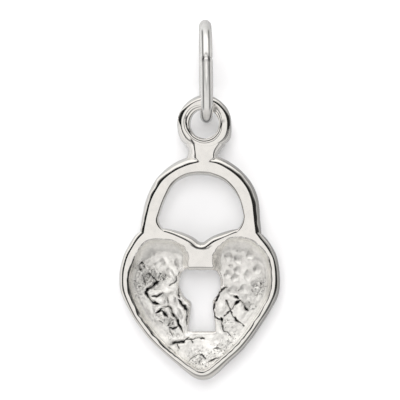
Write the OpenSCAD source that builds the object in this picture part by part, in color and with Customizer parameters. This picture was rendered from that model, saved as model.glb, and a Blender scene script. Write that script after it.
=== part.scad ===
// Heart lock pendant: a cast charm, hollow on the side that faces -Y, hanging from a jump ring.
// X is to the right as the hollow side is seen, Z is up, and the origin is at the inner top of
// the jump ring, where the chain lies.

/* [Jump ring] */
// Outer diameter of the ring
ring_od = 6.3; // [5.6:0.1:7.2]
// Diameter of the ring's wire
wire_d = 0.74; // [0.6:0.02:0.8]
// Gap between the butted ends of the wire
joint_gap = 0.03; // [0.02:0.01:0.1]
// Height of the butted ends above the ring's centre
joint_rise = 0.7; // [-1:0.1:1.5]
// Turn of the ring about the vertical
ring_yaw = 5; // [0:0.5:8]
// Lean of the ring to the side, from the vertical
ring_lean = 0.8; // [0:0.1:1.5]

/* [Eye] */
// Radius of the hole in the eye
eye_hole_r = 0.88; // [0.84:0.01:0.95]
// Radius of the eye's outside
eye_r = 1.62; // [1.55:0.01:1.75]
// How far the outside's centre is above the hole's, which thickens the top
eye_offset = 0.14; // [0:0.01:0.2]
// Play between the ring and the top of the eye's hole
eye_play = 0.1; // [0.06:0.01:0.15]

/* [Casting] */
// Thickness of the eye and shackle, front to back
bar_t = 1.3; // [1.1:0.05:1.4]
// How far the heart's puffed side stands out past the middle of the bar
puff = 1.15; // [1:0.05:1.4]
// Depth of the pan below the rim, near the rim
pan_depth = 0.8; // [0.6:0.05:0.9]
// Extra depth of the pan towards its middle
pan_sink = 0.2; // [0:0.05:0.3]
// Width of the pan's sloping wall
pan_wall = 0.45; // [0.3:0.05:0.6]
// Strength of the cast relief in the pan
relief_scale = 1.3; // [0:0.1:1.5]

/* [Hidden] */

wire_r = wire_d / 2;
ring_r = ring_od / 2 - wire_r;
ring_z = wire_d - ring_od / 2;
face_y = -bar_t / 2;
bar_half = bar_t / 2;
bury = 0.3;
shackle_back = bar_half - 0.02;
neck_back = bar_half - 0.06;
neck_set = 0.004;
eye_round = 0.30;
eye_bore_round = 0.24;
bore_half = bar_half + 0.03;
round_facets = 56;
wire_facets = 32;

// The wire under the eye's hole, which the eye hangs on
pivot_x = (ring_r - ring_z) * sin(ring_lean);
pivot_z = (ring_z - ring_r) * cos(ring_lean);
eye_x = -0.03;
eye_z = pivot_z + wire_r + eye_play - eye_hole_r;

// Everything below is placed from the eye's hole, so it follows when the ring changes
drop = eye_z + 5.6;

// Stations round the heart's rim, anticlockwise from the foot of the shackle's V:
// [edge x, edge z, pan edge x, pan edge z, reach of the side past the edge]
RIM = [
    [0.02, -13.19, 0.02, -13.42, 0.40],
    [-0.50, -13.17, -0.50, -13.40, 0.40],
    [-1.00, -12.83, -1.15, -13.10, 0.40],
    [-1.70, -12.48, -1.75, -12.80, 0.33],
    [-2.50, -12.19, -2.45, -12.73, 0.22],
    [-3.30, -12.03, -3.20, -12.76, 0.12],
    [-3.95, -12.55, -3.62, -12.92, 0.32],
    [-4.40, -13.18, -3.98, -13.33, 0.32],
    [-4.74, -13.88, -4.31, -13.93, 0.31],
    [-4.94, -14.85, -4.62, -14.88, 0.31],
    [-4.86, -15.85, -4.57, -15.82, 0.30],
    [-4.33, -17.10, -4.08, -16.98, 0.22],
    [-3.80, -17.93, -3.58, -17.78, 0.22],
    [-3.08, -18.80, -2.88, -18.62, 0.20],
    [-2.35, -19.50, -2.18, -19.31, 0.18],
    [-1.60, -20.11, -1.46, -19.91, 0.20],
    [-0.90, -20.63, -0.80, -20.41, 0.25],
    [-0.40, -20.86, -0.38, -20.63, 0.32],
    [0.08, -20.86, 0.06, -20.62, 0.34],
    [0.55, -20.58, 0.44, -20.36, 0.32],
    [1.25, -19.97, 1.11, -19.78, 0.28],
    [1.98, -19.32, 1.82, -19.15, 0.27],
    [2.60, -18.60, 2.42, -18.45, 0.26],
    [3.17, -17.78, 2.97, -17.65, 0.26],
    [3.70, -16.95, 3.49, -16.84, 0.26],
    [4.16, -16.00, 3.92, -15.94, 0.30],
    [4.29, -15.05, 4.04, -15.04, 0.27],
    [4.18, -13.95, 3.91, -13.98, 0.25],
    [3.88, -13.33, 3.62, -13.42, 0.29],
    [3.38, -12.66, 3.10, -12.90, 0.30],
    [2.80, -12.03, 2.58, -12.64, 0.12],
    [2.02, -12.22, 2.02, -12.60, 0.22],
    [1.40, -12.45, 1.45, -12.70, 0.32],
    [0.62, -12.82, 0.70, -13.08, 0.40],
];

// Stations along the shackle, from the left shoulder over the top to the right one:
// [outer edge x, outer edge z, inner edge x, inner edge z, outer reach, inner reach,
// how far the back sinks into the heart's shoulder]
SHACKLE = [
    [-3.70, -12.40, -2.75, -12.60, 0.28, 0.12, 0.26],
    [-3.61, -11.77, -2.96, -11.68, 0.33, 0.15, 0.10],
    [-3.48, -11.16, -2.86, -11.16, 0.35, 0.16, 0.02],
    [-3.30, -10.43, -2.66, -10.43, 0.38, 0.15, 0],
    [-2.99, -9.76, -2.41, -9.85, 0.42, 0.16, 0],
    [-2.53, -9.08, -2.05, -9.21, 0.47, 0.20, 0],
    [-1.86, -8.54, -1.50, -8.78, 0.50, 0.23, 0],
    [-1.07, -8.17, -0.89, -8.55, 0.50, 0.24, 0],
    [-0.15, -7.95, -0.15, -8.49, 0.40, 0.24, 0],
    [0.70, -8.04, 0.52, -8.60, 0.44, 0.23, 0],
    [1.55, -8.50, 1.25, -8.92, 0.44, 0.21, 0],
    [2.22, -9.09, 1.80, -9.46, 0.41, 0.17, 0],
    [2.64, -9.73, 2.13, -10.03, 0.41, 0.12, 0],
    [2.86, -10.43, 2.31, -10.55, 0.41, 0.10, 0],
    [2.95, -11.16, 2.44, -11.16, 0.38, 0.10, 0.02],
    [3.03, -11.83, 2.40, -11.71, 0.37, 0.14, 0.10],
    [3.12, -12.42, 2.10, -12.60, 0.32, 0.14, 0.26],
];

// Stations down the neck, from beside the eye's hole to the shackle:
// [height, flat's left x, flat's right x, left reach, right reach]
NECK = [
    [-5.40, -1.25, 1.19, 0.34, 0.34],
    [-5.75, -1.26, 1.20, 0.43, 0.40],
    [-6.05, -1.22, 1.17, 0.46, 0.46],
    [-6.40, -1.08, 1.04, 0.44, 0.45],
    [-6.72, -0.87, 0.85, 0.46, 0.48],
    [-6.95, -0.70, 0.68, 0.48, 0.50],
    [-7.14, -0.58, 0.56, 0.49, 0.45],
    [-7.32, -0.54, 0.52, 0.50, 0.36],
    [-7.50, -0.52, 0.50, 0.55, 0.28],
    [-7.70, -0.54, 0.50, 0.64, 0.34],
    [-8.05, -0.62, 0.56, 0.66, 0.50],
];

// Keyhole: a round head cut off flat at the top, over a slot that widens to its foot
key_head_x = -0.36;
key_head_z = -15.34;
key_head_r = 1.27;
key_top_z = -14.52;
key_slot_x = -0.24;
key_waist_z = -16.75;
key_waist_half = 0.67;
key_foot_z = -18.26;
key_foot_half = 0.85;
key_corner = 0.12;

// Middle of the pan, inside the keyhole, that the heart's rows of points run to
mid_x = -0.28;
mid_z = -16.35;

// Bridge of flat metal from the V to the keyhole, which flares into the lobes' corners
bridge_x = -0.24;
bridge_half = 0.71;
bridge_flare = 0.65;
bridge_wall = 0.45;
bridge_foot_z = -14.4;
bridge_rise = 1.6;
bridge_end = 0.8;
bridge_end_run = 0.4;

// Cast relief, egg-shaped swellings and dents: [x, z, half length, half width, turn, height]
RELIEF = [
    // Oval dents in the right lobe
    [1.48, -13.70, 0.34, 0.30, 80, -0.14],
    [1.98, -13.95, 0.32, 0.28, 90, -0.16],
    [2.82, -13.55, 0.42, 0.30, 80, -0.13],
    [3.20, -14.48, 0.42, 0.32, 100, -0.13],
    [1.38, -14.90, 0.38, 0.26, 90, -0.12],
    [1.95, -14.58, 0.30, 0.26, 90, -0.13],
    [1.78, -15.02, 0.30, 0.28, 60, -0.12],
    [2.58, -14.85, 0.44, 0.32, 90, -0.15],
    [1.65, -15.68, 0.34, 0.30, 90, -0.12],
    [2.45, -15.70, 0.42, 0.36, 80, -0.13],
    [3.02, -15.45, 0.34, 0.30, 90, -0.12],
    // Swellings under the dents and beside the keyhole
    [1.52, -16.20, 0.52, 0.34, 20, 0.12],
    [2.45, -16.25, 0.50, 0.36, -20, 0.10],
    [0.95, -16.80, 0.55, 0.40, 80, 0.16],
    [2.05, -16.95, 0.52, 0.46, 45, 0.15],
    [1.15, -17.75, 0.50, 0.42, 60, 0.13],
    [1.85, -17.95, 0.55, 0.46, 40, 0.13],
    // Swellings across the foot of the pan
    [0.75, -18.80, 0.52, 0.40, 20, 0.13],
    [0.05, -19.10, 0.50, 0.40, 0, 0.12],
    [-0.75, -19.45, 0.55, 0.42, 15, 0.13],
    [-1.45, -18.95, 0.45, 0.36, -40, 0.12],
    [-0.30, -20.05, 0.45, 0.28, 0, 0.08],
    // Upper band of lumps, from the left rim down to the keyhole
    [-3.90, -14.35, 0.30, 0.26, 60, 0.20],
    [-3.45, -14.75, 0.46, 0.28, -45, 0.12],
    [-3.20, -15.25, 0.40, 0.30, -50, 0.13],
    [-2.92, -15.90, 0.50, 0.26, 20, 0.16],
    [-2.85, -16.40, 0.52, 0.24, -10, 0.16],
    [-2.00, -15.95, 0.50, 0.40, 60, 0.12],
    [-1.90, -16.80, 0.60, 0.34, -60, 0.10],
    // Ridge above that band and the hollow beside it
    [-2.40, -13.75, 0.62, 0.22, -62, 0.13],
    [-2.25, -14.95, 0.50, 0.42, 30, -0.08],
    // Lower band of cells
    [-2.36, -17.05, 0.30, 0.28, 0, 0.15],
    [-2.50, -17.50, 0.28, 0.26, 0, 0.12],
    [-2.05, -17.92, 0.40, 0.22, 10, 0.16],
    [-1.88, -18.33, 0.42, 0.26, 0, 0.16],
    [-1.48, -18.75, 0.34, 0.18, 0, 0.12],
];

// Distance from the pan's edge over which its floor sinks
sink_run = 1.6;

// Columns that the smooth curves put between two stations
rim_sub = 4;
shackle_sub = 2;

function catmull(a, b, c, d, t) =
    0.5 * (2 * b + (c - a) * t + (2 * a - 5 * b + 4 * c - d) * t * t
        + (3 * b - a - 3 * c + d) * t * t * t);

function smooth_loop(rows, sub) =
    let (n = len(rows))
    [for (i = [0:n - 1], k = [0:sub - 1])
        catmull(rows[(i + n - 1) % n], rows[i], rows[(i + 1) % n], rows[(i + 2) % n], k / sub)];

function smooth_run(rows, sub) =
    let (n = len(rows))
    concat(
        [for (i = [0:n - 2], k = [0:sub - 1])
            catmull(rows[max(i - 1, 0)], rows[i], rows[i + 1], rows[min(i + 2, n - 1)], k / sub)],
        [rows[n - 1]]);

function unit(v) = v / norm(v);
function clamp01(v) = min(1, max(0, v));
function ease(v) = let (t = clamp01(v)) t * t * (3 - 2 * t);

// A swelling's height at a point, 1 in its middle and 0 from its edge outward
function swelling(x, z, row) =
    let (
        dx = x - row[0],
        dz = z - row[1] - drop,
        along = (dx * cos(row[4]) + dz * sin(row[4])) / row[2],
        across = (dz * cos(row[4]) - dx * sin(row[4])) / row[3],
        far = along * along + across * across)
    far < 1 ? row[5] * (1 - far) * (1 - far) : 0;

function relief(x, z, i = 0) =
    i == len(RELIEF) ? 0 : swelling(x, z, RELIEF[i]) + relief(x, z, i + 1);

// 1 on the bridge, 0 well beside and below it
function bridge(x, z) =
    let (
        up = clamp01((z - drop - bridge_foot_z) / bridge_rise),
        half = bridge_half + bridge_flare * pow(up, 4),
        beside = 1 - ease((abs(x - bridge_x) - half) / bridge_wall),
        above = ease((z - drop - bridge_foot_z + bridge_end) / bridge_end_run))
    beside * above;

// Depth of the pan's floor below the rim at a point, inset from the pan's edge
function floor_depth(x, z, inset) =
    let (
        wall = sqrt(1 - pow(1 - clamp01(inset / pan_wall), 2)),
        middle = ease(inset / sink_run),
        cast = relief_scale * relief(x, z) * ease(inset / pan_wall))
    (wall * (pan_depth + pan_sink * middle) - cast) * (1 - bridge(x, z));

rim = smooth_loop(RIM, rim_sub);
columns = len(rim);
edge = [for (r = rim) [r[0], r[1] + drop]];
pan = [for (r = rim) [r[2], r[3] + drop]];
reach = [for (r = rim) r[4]];
outward = [for (i = [0:columns - 1])
    let (run = unit(edge[(i + 1) % columns] - edge[(i + columns - 1) % columns]))
    [run[1], -run[0]]];
middle = [mid_x, mid_z + drop];

// Rings of the heart's skin, from the middle of the pan out over the rim to the puffed side,
// as shares of the way out. The first two rings of the pan lie in the keyhole.
pan_rings = 15;
pan_start = 0.28;
pan_steps = concat([0.04, 0.2],
    [for (k = [0:pan_rings - 1]) pan_start + (1 - pan_start) * k / pan_rings]);
side_turns = [22.5, 45, 67.5, 90];
puff_steps = [0.98, 0.93, 0.86, 0.75, 0.6, 0.42, 0.2];

function pan_ring(t) =
    [for (i = [0:columns - 1])
        let (
            p = middle + t * (pan[i] - middle),
            inset = (1 - t) * norm(pan[i] - middle))
        [p[0], face_y + floor_depth(p[0], p[1], inset), p[1]]];

function flat_ring(points) = [for (p = points) [p[0], face_y, p[1]]];

function side_ring(turn) =
    [for (i = [0:columns - 1])
        let (p = edge[i] + outward[i] * reach[i] * sin(turn))
        [p[0], face_y + bar_half * (1 - cos(turn)), p[1]]];

function puff_ring(t) =
    [for (i = [0:columns - 1])
        let (
            side = edge[i] + outward[i] * reach[i],
            p = middle + t * (side - middle))
        [p[0], puff * sqrt(1 - pow(t, 3)), p[1]]];

heart_rings = concat(
    [for (t = pan_steps) pan_ring(t)],
    [flat_ring(pan), flat_ring(edge)],
    [for (turn = side_turns) side_ring(turn)],
    [for (t = puff_steps) puff_ring(t)]);

function ring_faces(rings, n) =
    [for (k = [0:rings - 2], i = [0:n - 1], half = [0, 1])
        let (
            a = k * n + i,
            b = k * n + (i + 1) % n,
            c = a + n,
            d = b + n)
        half == 0 ? [a, b, c] : [b, d, c]];

module skin(rings) {
    n = len(rings[0]);
    count = len(rings);
    first = [for (i = [n - 1:-1:0]) i];
    last = [for (i = [0:n - 1]) (count - 1) * n + i];
    polyhedron(
        points = [for (ring = rings, p = ring) p],
        faces = concat([first], ring_faces(count, n), [last]));
}

module heart_body() {
    skin(heart_rings);
}

// Outline of a bar with a flat face of width w, bulging sides and a round back
function bar_outline(w, reach_a, reach_b, back, steps = 5) =
    let (span = (w + reach_a + reach_b) / 2, centre = (w + reach_b - reach_a) / 2)
    concat(
        [for (k = [0:steps - 1])
            let (turn = 90 * k / steps)
            [-reach_a * sin(turn), face_y + bar_half * (1 - cos(turn))]],
        [for (k = [0:2 * steps])
            let (turn = 180 - 90 * k / steps)
            [centre + span * cos(turn), back * sin(turn)]],
        [for (k = [steps - 1:-1:0])
            let (turn = 90 * k / steps)
            [w + reach_b * sin(turn), face_y + bar_half * (1 - cos(turn))]]);

// The same outline in space, standing on the line from one edge of the flat to the other
function bar_section(from, to, reach_a, reach_b, back) =
    let (run = unit(to - from))
    [for (p = bar_outline(norm(to - from), reach_a, reach_b, back))
        [from[0] + run[0] * p[0], p[1], from[1] + run[1] * p[0] + drop]];

// A length of bar between two sections, as the hull of both
module bar_link(a, b) {
    n = len(a);
    first = [for (i = [n - 1:-1:0]) i];
    last = [for (i = [0:n - 1]) n + i];
    hull()
        polyhedron(points = concat(a, b), faces = concat([first], ring_faces(2, n), [last]));
}

module bar_run(sections) {
    for (i = [0:len(sections) - 2])
        bar_link(sections[i], sections[i + 1]);
}

module shackle() {
    skin([for (r = smooth_run(SHACKLE, shackle_sub))
        bar_section([r[0], r[1]], [r[2], r[3]], r[4], r[5], shackle_back - r[6])]);
}

// The neck's flat lies a hair under the eye's and the shackle's, as if filed after casting
module neck() {
    translate([0, neck_set, 0])
        bar_run([for (r = NECK)
            bar_section([r[1], r[0]], [r[2], r[0]], r[3], r[4], neck_back)]);
}

// Half section of the eye's outside, with round edges: [radius, depth]
function eye_outline(steps = 6) =
    concat(
        [[0, -bar_half]],
        [for (k = [0:2 * steps])
            let (turn = -90 + 90 * k / steps)
            [eye_r - eye_round * (1 - cos(turn)), bar_half * sin(turn)]],
        [[0, bar_half]]);

// Half section of the eye's hole, which widens at both faces
function bore_outline(steps = 6) =
    concat(
        [[0, -bar_half - bury], [eye_hole_r + eye_bore_round, -bar_half - bury]],
        [for (k = [0:2 * steps])
            let (turn = -90 + 90 * k / steps)
            [eye_hole_r + eye_bore_round * (1 - cos(turn)), bore_half * sin(turn)]],
        [[eye_hole_r + eye_bore_round, bar_half + bury], [0, bar_half + bury]]);

module eye_blank() {
    translate([eye_x, 0, eye_z + eye_offset])
        rotate([90, 0, 0])
            rotate_extrude($fn = round_facets)
                polygon(eye_outline());
}

module eye_bore() {
    translate([eye_x, 0, eye_z])
        rotate([90, 0, 0])
            rotate_extrude($fn = round_facets)
                polygon(bore_outline());
}

module key_head() {
    intersection() {
        translate([key_head_x, key_head_z])
            circle(r = key_head_r, $fn = round_facets);
        translate([key_head_x - 2 * key_head_r, key_top_z - 4 * key_head_r])
            square(4 * key_head_r);
    }
}

module key_slot() {
    translate([key_slot_x, 0])
        polygon([
            [-key_waist_half, key_head_z],
            [-key_waist_half, key_waist_z],
            [-key_foot_half, key_foot_z],
            [key_foot_half, key_foot_z],
            [key_waist_half, key_waist_z],
            [key_waist_half, key_head_z],
        ]);
}

module keyhole() {
    depth = 2 * (bar_half + puff);
    translate([0, depth / 2, drop])
        rotate([90, 0, 0])
            linear_extrude(height = depth)
                offset(r = key_corner, $fn = wire_facets)
                    offset(delta = -key_corner) {
                        key_head();
                        key_slot();
                    }
}

module heart_lock() {
    color([0.90, 0.89, 0.87])
        difference() {
            union() {
                heart_body();
                shackle();
                neck();
                eye_blank();
            }
            eye_bore();
            keyhole();
        }
}

module jump_ring() {
    gap_turn = joint_gap / ring_r * 180 / PI;
    joint_turn = asin(joint_rise / ring_r);
    color([0.86, 0.86, 0.87])
        rotate([0, 0, ring_yaw])
            rotate([0, -ring_lean, 0])
                translate([0, 0, ring_z])
                    rotate([0, 90, 0])
                        rotate([0, 0, -90 - joint_turn + gap_turn / 2])
                            rotate_extrude(angle = 360 - gap_turn, $fn = round_facets)
                                translate([ring_r, 0])
                                    circle(r = wire_r, $fn = wire_facets);
}

heart_lock();
jump_ring();
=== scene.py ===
"""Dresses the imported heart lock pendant: the silver casting, its jump ring and a plain studio."""

import math

import bmesh
import bpy
import numpy as np
from mathutils import Matrix, Vector, noise


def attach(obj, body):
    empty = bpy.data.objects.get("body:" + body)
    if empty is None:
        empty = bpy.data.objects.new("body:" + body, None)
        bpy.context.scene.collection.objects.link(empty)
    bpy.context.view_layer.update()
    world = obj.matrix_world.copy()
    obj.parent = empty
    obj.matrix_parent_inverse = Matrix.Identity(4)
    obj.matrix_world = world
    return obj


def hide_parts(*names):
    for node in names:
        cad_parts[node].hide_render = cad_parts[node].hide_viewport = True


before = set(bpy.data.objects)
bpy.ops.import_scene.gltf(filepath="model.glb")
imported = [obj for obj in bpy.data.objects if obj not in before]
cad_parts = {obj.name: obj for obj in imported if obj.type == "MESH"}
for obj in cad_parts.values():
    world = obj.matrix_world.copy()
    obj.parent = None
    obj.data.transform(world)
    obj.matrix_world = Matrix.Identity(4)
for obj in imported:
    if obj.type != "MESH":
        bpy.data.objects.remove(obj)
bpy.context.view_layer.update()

bl_info = {
    "name": "Heart Lock Pendant",
    "version": (1, 0, 0),
    "blender": (4, 5, 0),
    "location": "View3D > Sidebar > Pendant",
    "description": "Builds a cast heart lock pendant with its jump ring and a plain studio",
    "category": "Object",
}

# Metres in a millimetre. Every size below is in millimetres, every turn and tilt is written in degrees
MM = 0.001
LOCK_BODY = "lock"
RING_BODY = "ring"

# The view of the photograph: camera turned a little to the right of the hollow side
VIEW_TURN = math.radians(4)
VIEW_RIGHT = Vector((math.cos(VIEW_TURN), math.sin(VIEW_TURN), 0))
VIEW_AHEAD = Vector((-math.sin(VIEW_TURN), math.cos(VIEW_TURN), 0))
# The same two as the flat face throws them back
SEEN_RIGHT = Vector((math.cos(VIEW_TURN), -math.sin(VIEW_TURN), 0))
SEEN_AHEAD = Vector((-math.sin(VIEW_TURN), -math.cos(VIEW_TURN), 0))

# Y of the flat face, and a y that parts the hollow side from the puffed back
FACE = -0.65
FRONT_Y = 0.5
# Height of the puffed back, and the power by which it falls off towards the side
PUFF = 1.15
PUFF_POWER = 3
# Depth of the pan, and how much deeper it is over what way from its wall
PAN_DEPTH = 0.8
PAN_SINK = 0.1
PAN_SINK_OVER = 1.6
# Width of the pan's curved wall, and how much wider it is in the tops of the lobes
WALL = 0.45
WALL_TOP = 0.5
# Width of the rounded lip round the keyhole: at its ends, to the right, to the left, and its depth for it
LIP_ENDS = 0.26
LIP_RIGHT = 0.08
LIP_LEFT = 0.20
LIP_DROP = 0.9
# Rows round the lips, places of the rows down the hole, and the power that draws the pan's rows together
# near its rim
LIP_ROWS = 6
BACK_LIP_ROWS = 4
HOLE_ROWS = (0.33, 0.67)
PAN_SPACING = 1.25
# Flat bridge from the V down to the keyhole: its middle, half width and how much wider it is at its top,
# from what height and over what height it gets wider, and the width of its soft sides
BRIDGE_X = -0.24
BRIDGE_HALF = 0.71
BRIDGE_SPREAD = 0.65
BRIDGE_Z = -14.4
BRIDGE_TALL = 1.6
BRIDGE_SOFT = 0.45
# Radius of the worn edge from the flat to the pan, and of the keyhole's edge in the back
FLAT_ROUND = 0.11
BACK_ROUND = 0.12
# How ragged the pan's edge is worn, how much less so in the tops, and how much wider on the lower left
RAGGED = 0.35
RAGGED_LESS = 0.25
WORN_WIDER = 0.3
# Share of the heart's side that its worn edge takes up at the bottom, and what changes it: more at the top,
# less beside the foot of the V, which lies above a height, more on the lower left, and an uneven part
RIM_SOFT = 0.48
RIM_SOFT_TOP = 0.22
RIM_CRISP_V = 0.28
V_FOOT_Z = -13.5
RIM_SOFT_LEFT = 0.10
RIM_UNEVEN = 0.3
# How far the backs of the shackle and neck stand out, and how far the neck's face is set back
SHACKLE_BACK = 0.63
NECK_BACK = 0.59
NECK_SET = 0.004
# Flat strip that stays next to each edge of a bar's face
FLAT_HOLD = 0.03
# Tilt of a worn edge where the flat ends, where the heart's soft edge ends and where a bar's does
EDGE_TILT = 11.5
SOFT_TILT = 27
BAR_TILT = 23
# The eye's edge is less tilted to its left and right
EYE_TILT_LESS = 5
# Share of its side that a bar's soft edge takes up
SHACKLE_SOFT = 0.60
NECK_SOFT = 0.22
# The same share: how much less it is on top, what is left of it inside, how uneven it is, its most
BAR_TOP_LESS = 0.35
BAR_INNER = 0.8
BAR_UNEVEN = 0.40
BAR_SOFT_MOST = 0.90
# Sine of the steepest turn at which the lower part of a side starts
STEEPEST = 0.95
# Shares of the way over the rim's flat at which its rows run
RIM_ROWS = (0.08, 0.5, 0.92, 1)

# Jump ring: outer diameter, gap of its joint, height of the joint over the ring's middle,
# its turn about the upright and its lean
RING_OUTER = 6.3
JOINT_GAP = 0.03
JOINT_RISE = 0.7
RING_YAW = 5
RING_LEAN = 0.8
RING_PARTS = 160
WIRE_SIDES = 64
# The wire's end that was bent last strays outwards: how far, and over what length
STRAY = 0.05
STRAY_LONG = 1.3
# Share of the wire's length from which its sections are evenly spaced
WIRE_FULL = 0.03
# Rounded ends of the wire: share of its length, share of its thickness
WIRE_END = [(0, 0.86), (0.002, 0.92), (0.005, 0.96), (0.009, 0.99), (0.016, 1)]
# Painted dark reflections along the wire: place from -1 on one side of its outer face to 1 on the other,
# half width, depth
WIRE_PAINTED_LINES = [(-0.60, 0.17, 0.88), (0.44, 0.16, 0.85)]
# Painted shade of the wire where it has no painted lines, how much greyer its painted shade is below its
# joint, and the joint's height
WIRE_PLAIN = 0.92
WIRE_BELOW = 0.05
JOINT_Z = -1.72
# Dark ends at the joint: half height, how dark, and the shift, place and half width of a band to each side
PINCH_TALL = 0.14
PINCH_DARK = 0.97
PINCH_OFF = 0.1
PINCH_AT = 0.50
PINCH_HALF = 0.25
# Painted reflection, a dark rim at the ring's bottom: how dark, how far it faces the viewer, how much
# farther beside, half width
BOTTOM_DARK = 0.88
BOTTOM_FACING = 0.20
BOTTOM_BOWED = 0.25
BOTTOM_HALF = 0.11

# Ways over which a shape or look fades in: where it starts and where it is full. They run along z,
# but for those that name another direction or measure
FADES = {
    "frosted tops": (-14.6, -13.6),
    "high wall": (-14.1, -13.0),
    "relief from the pan's edge in": (0, 0.4),
    "cracks from the pan's edge in": (0, 0.15),
    "gleam from the pan's edge in": (0, 0.2),
    "dark from the pan's edge in": (0, 0.1),
    "frost from the keyhole out": (0.08, 0.23),
    "gleaming bump by its height": (0.03, 0.10),
    "painted highlight of a dent from its middle down": (0.1, 0.55),
    "painted shade of a dent from its middle down": (0.3, -0.2),
    "broken black brink": (-0.50, -0.15),
    "swing of the back's rows": (0.35, 0.95),
    "bridge foot": (-15.2, -14.8),
    "worn brink": (-15.0, -16.0),
    "worn brink to the left": (-1.6, -2.6),
    "worn rim": (-16.5, -13.0),
    "crisp foot of the V from beside": (18 / 7, 8 / 7),
    "worn lower left": (-14.8, -15.8),
    "worn lower left from the middle": (-1.5, -3.0),
    "neck side right": (-5.80, -6.10),
    "neck side left": (-5.55, -5.85),
    "neck side foot": (-7.85, -7.70),
    "low side": (-15.8, -16.8),
    "low side in depth": (-0.50, -0.30),
    "gleaming bottom": (-17.2, -18.8),
    "black brink left": (-14.8, -15.4),
    "black brink left foot": (-18.7, -17.9),
    "black brink right": (-13.6, -14.0),
    "black brink right foot": (-16.6, -16.0),
    "painted wire lines": (0.16, -0.04),
    "painted wire lines foot": (-4.9, -4.6),
    "wire below joint": (JOINT_Z, JOINT_Z - 0.2),
    "ring bottom": (-4.6, -4.9),
}

# Noises that make the surface uneven: bumps to the millimetre, layer of the noise
NOISES = {
    "fine floor": (7.5, 1),
    "coarse floor": (3.4, 2),
    "wander x": (2.6, 7),
    "wander z": (3.3, 8),
    "crack": (2.6, 9),
    "fine crack": (7.0, 10),
    "pan edge": (3.1, 12),
    "rim": (1.1, 13),
    "fine wander x": (6.1, 14),
    "fine wander z": (6.7, 15),
    "bar": (1.5, 16),
    "black brink": (1.9, 17),
    "bottom": (2.9, 18),
    "pebbles": (2.0, 19),
    "painted edge shadows": (3.7, 21),
}
# Distance between two layers of the noise, and what its value is multiplied by
LAYER_STEP = 7.3
NOISE_GAIN = 1.6
# How far the forms of the cast floor wander to and fro
WANDER = 0.05
FINE_WANDER = 0.025
# Uneven skin of the cast floor by its noises: height where it is smooth, and what roughness adds
SKIN = {"fine floor": (0.004, 0.040), "coarse floor": (0.008, 0.032)}
# Share of a rough patch's radius within which it is rough in full
ROUGH_CORE = 0.3
# Frosted part of the pan: way in from its edge, how far it spreads out in the tops, width of its soft edge,
# and the depth under the flat from which it is there
FROST_START = 0.03
FROST_SPREAD = 0.12
FROST_SOFT = 0.08
FLAT_DEEP = 0.001
# Depth under the flat from which a side gleams, and y up to which the lower right edge does
SIDE_DEEP = 0.02
LOW_SIDE_BACK = 0.7
# Painted dark reflection, a black line at the pan's edge: way out from it, half width, x of both its parts,
# strength of the right one
BRINK_OUT = 0.005
BRINK_HALF = 0.032
BRINK_LEFT_X = -2
BRINK_RIGHT_X = 3
BRINK_RIGHT = 0.6
# Painted shadows at the edges: how uneven, the least that is left, strength at an end, length of the taper
EDGE_SHADOW_UNEVEN = 0.8
EDGE_SHADOW_LEAST = 0.5
EDGE_SHADOW_TIP = 0.3
EDGE_SHADOW_TAPER = 0.15

# What the casting's material reads from its vertices: Cavity holds painted shade and the darker stretches,
# Gleam painted highlights
MASKS = ("Cast", "Cavity", "Grain", "Gleam")
# Colours of the metals and of the painted shade and dark specks, and how rough polished metal is
CAST_COLOR = (0.965, 0.945, 0.915, 1)
WIRE_COLOR = (0.97, 0.96, 0.94, 1)
PAINTED_SHADE_AND_SPECK_COLOR = (0.02, 0.02, 0.02, 1)
CAST_POLISH = 0.05
WIRE_POLISH = 0.08
# The wire is partly like cast metal, gleams a little and has a weaker bump texture
WIRE_CAST = 0.4
WIRE_GLEAM = 0.5
WIRE_RELIEF = 0.6
# Noises of the wear: bumps to the metre, detail, roughness
COARSE_WEAR = (1400, 3, 0.6)
FINE_WEAR = (9000, 2, 0.5)
MOTTLES = (5200, 3, 0.6)
# Roughness that frost, smears and cavities add, and metal that frost and gleam take away
CAST_ROUGH = 0.23
SMEAR_ROUGH = 0.03
CAVITY_ROUGH = 0.35
CAST_METAL = -0.22
GLEAM_METAL = -0.55
# Shades of the smudges, of the frosted skin's blotches and of the specks, by the value of their noise
SMUDGES = [(0.40, 1.0), (0.66, 0.945)]
BLOTCHES = [(0.36, 0.87), (0.60, 1.0)]
BLOTCH_TONE = (1, 1.005, 1)
SPECKS = (0.56, 0.63, 0.0, 0.85)
# Strength of the bump texture on frosted and on polished metal
CAST_RELIEF = 0.9
PLAIN_RELIEF = 0.02
# Height of the bump texture, and the distance in metres within which a closed loft's ends merge
BUMP_STEP = 0.02 * MM
WELD = 1e-8
# How strongly the painted highlights on the forms of the cast floor and on the sides gleam, 1 as the
# brightest
GLEAM = {"lip": 0.95, "bump": 0.75, "bottom": 0.75, "streak": 0.85, "neck": 0.35, "low side": 0.35}
GLEAM_UNEVEN = 0.8
# How dark the painted shade on the upper part of a dent and in the seams between pebbles is, 1 as black
DENT_PAINTED_SHADE = 0.17
PEBBLE_PAINTED_SHADE = 0.75
# Pebbles to the millimetre, width of the seam between them in shares of their size, their height,
# the layer of their pattern, and how much a noise breaks the seams
PEBBLE_PITCH = 3.3
PEBBLE_SEAM = 0.20
PEBBLE_RISE = 0.05
PEBBLE_LAYER = 3.7
PEBBLE_BROKEN = 1.1
# Dents: depth of one whose painted highlight and painted shade are full, and how soft its edge is
DENT_FULL = 0.09
DENT_SOFT = 0.3

# Cracks: share of the half width that is drawn, share of it that is left at an end, length of the taper
CRACK_WIDTH = 0.80
CRACK_TIP = 0.35
CRACK_TAPER = 0.18
# Cracks come and go: their plain strength, what two noises add to it, the least and the most
CRACK_PLAIN = 0.85
CRACK_COARSE = 0.8
CRACK_FINE = 0.4
CRACK_RANGE = (0.62, 1.4)
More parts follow.
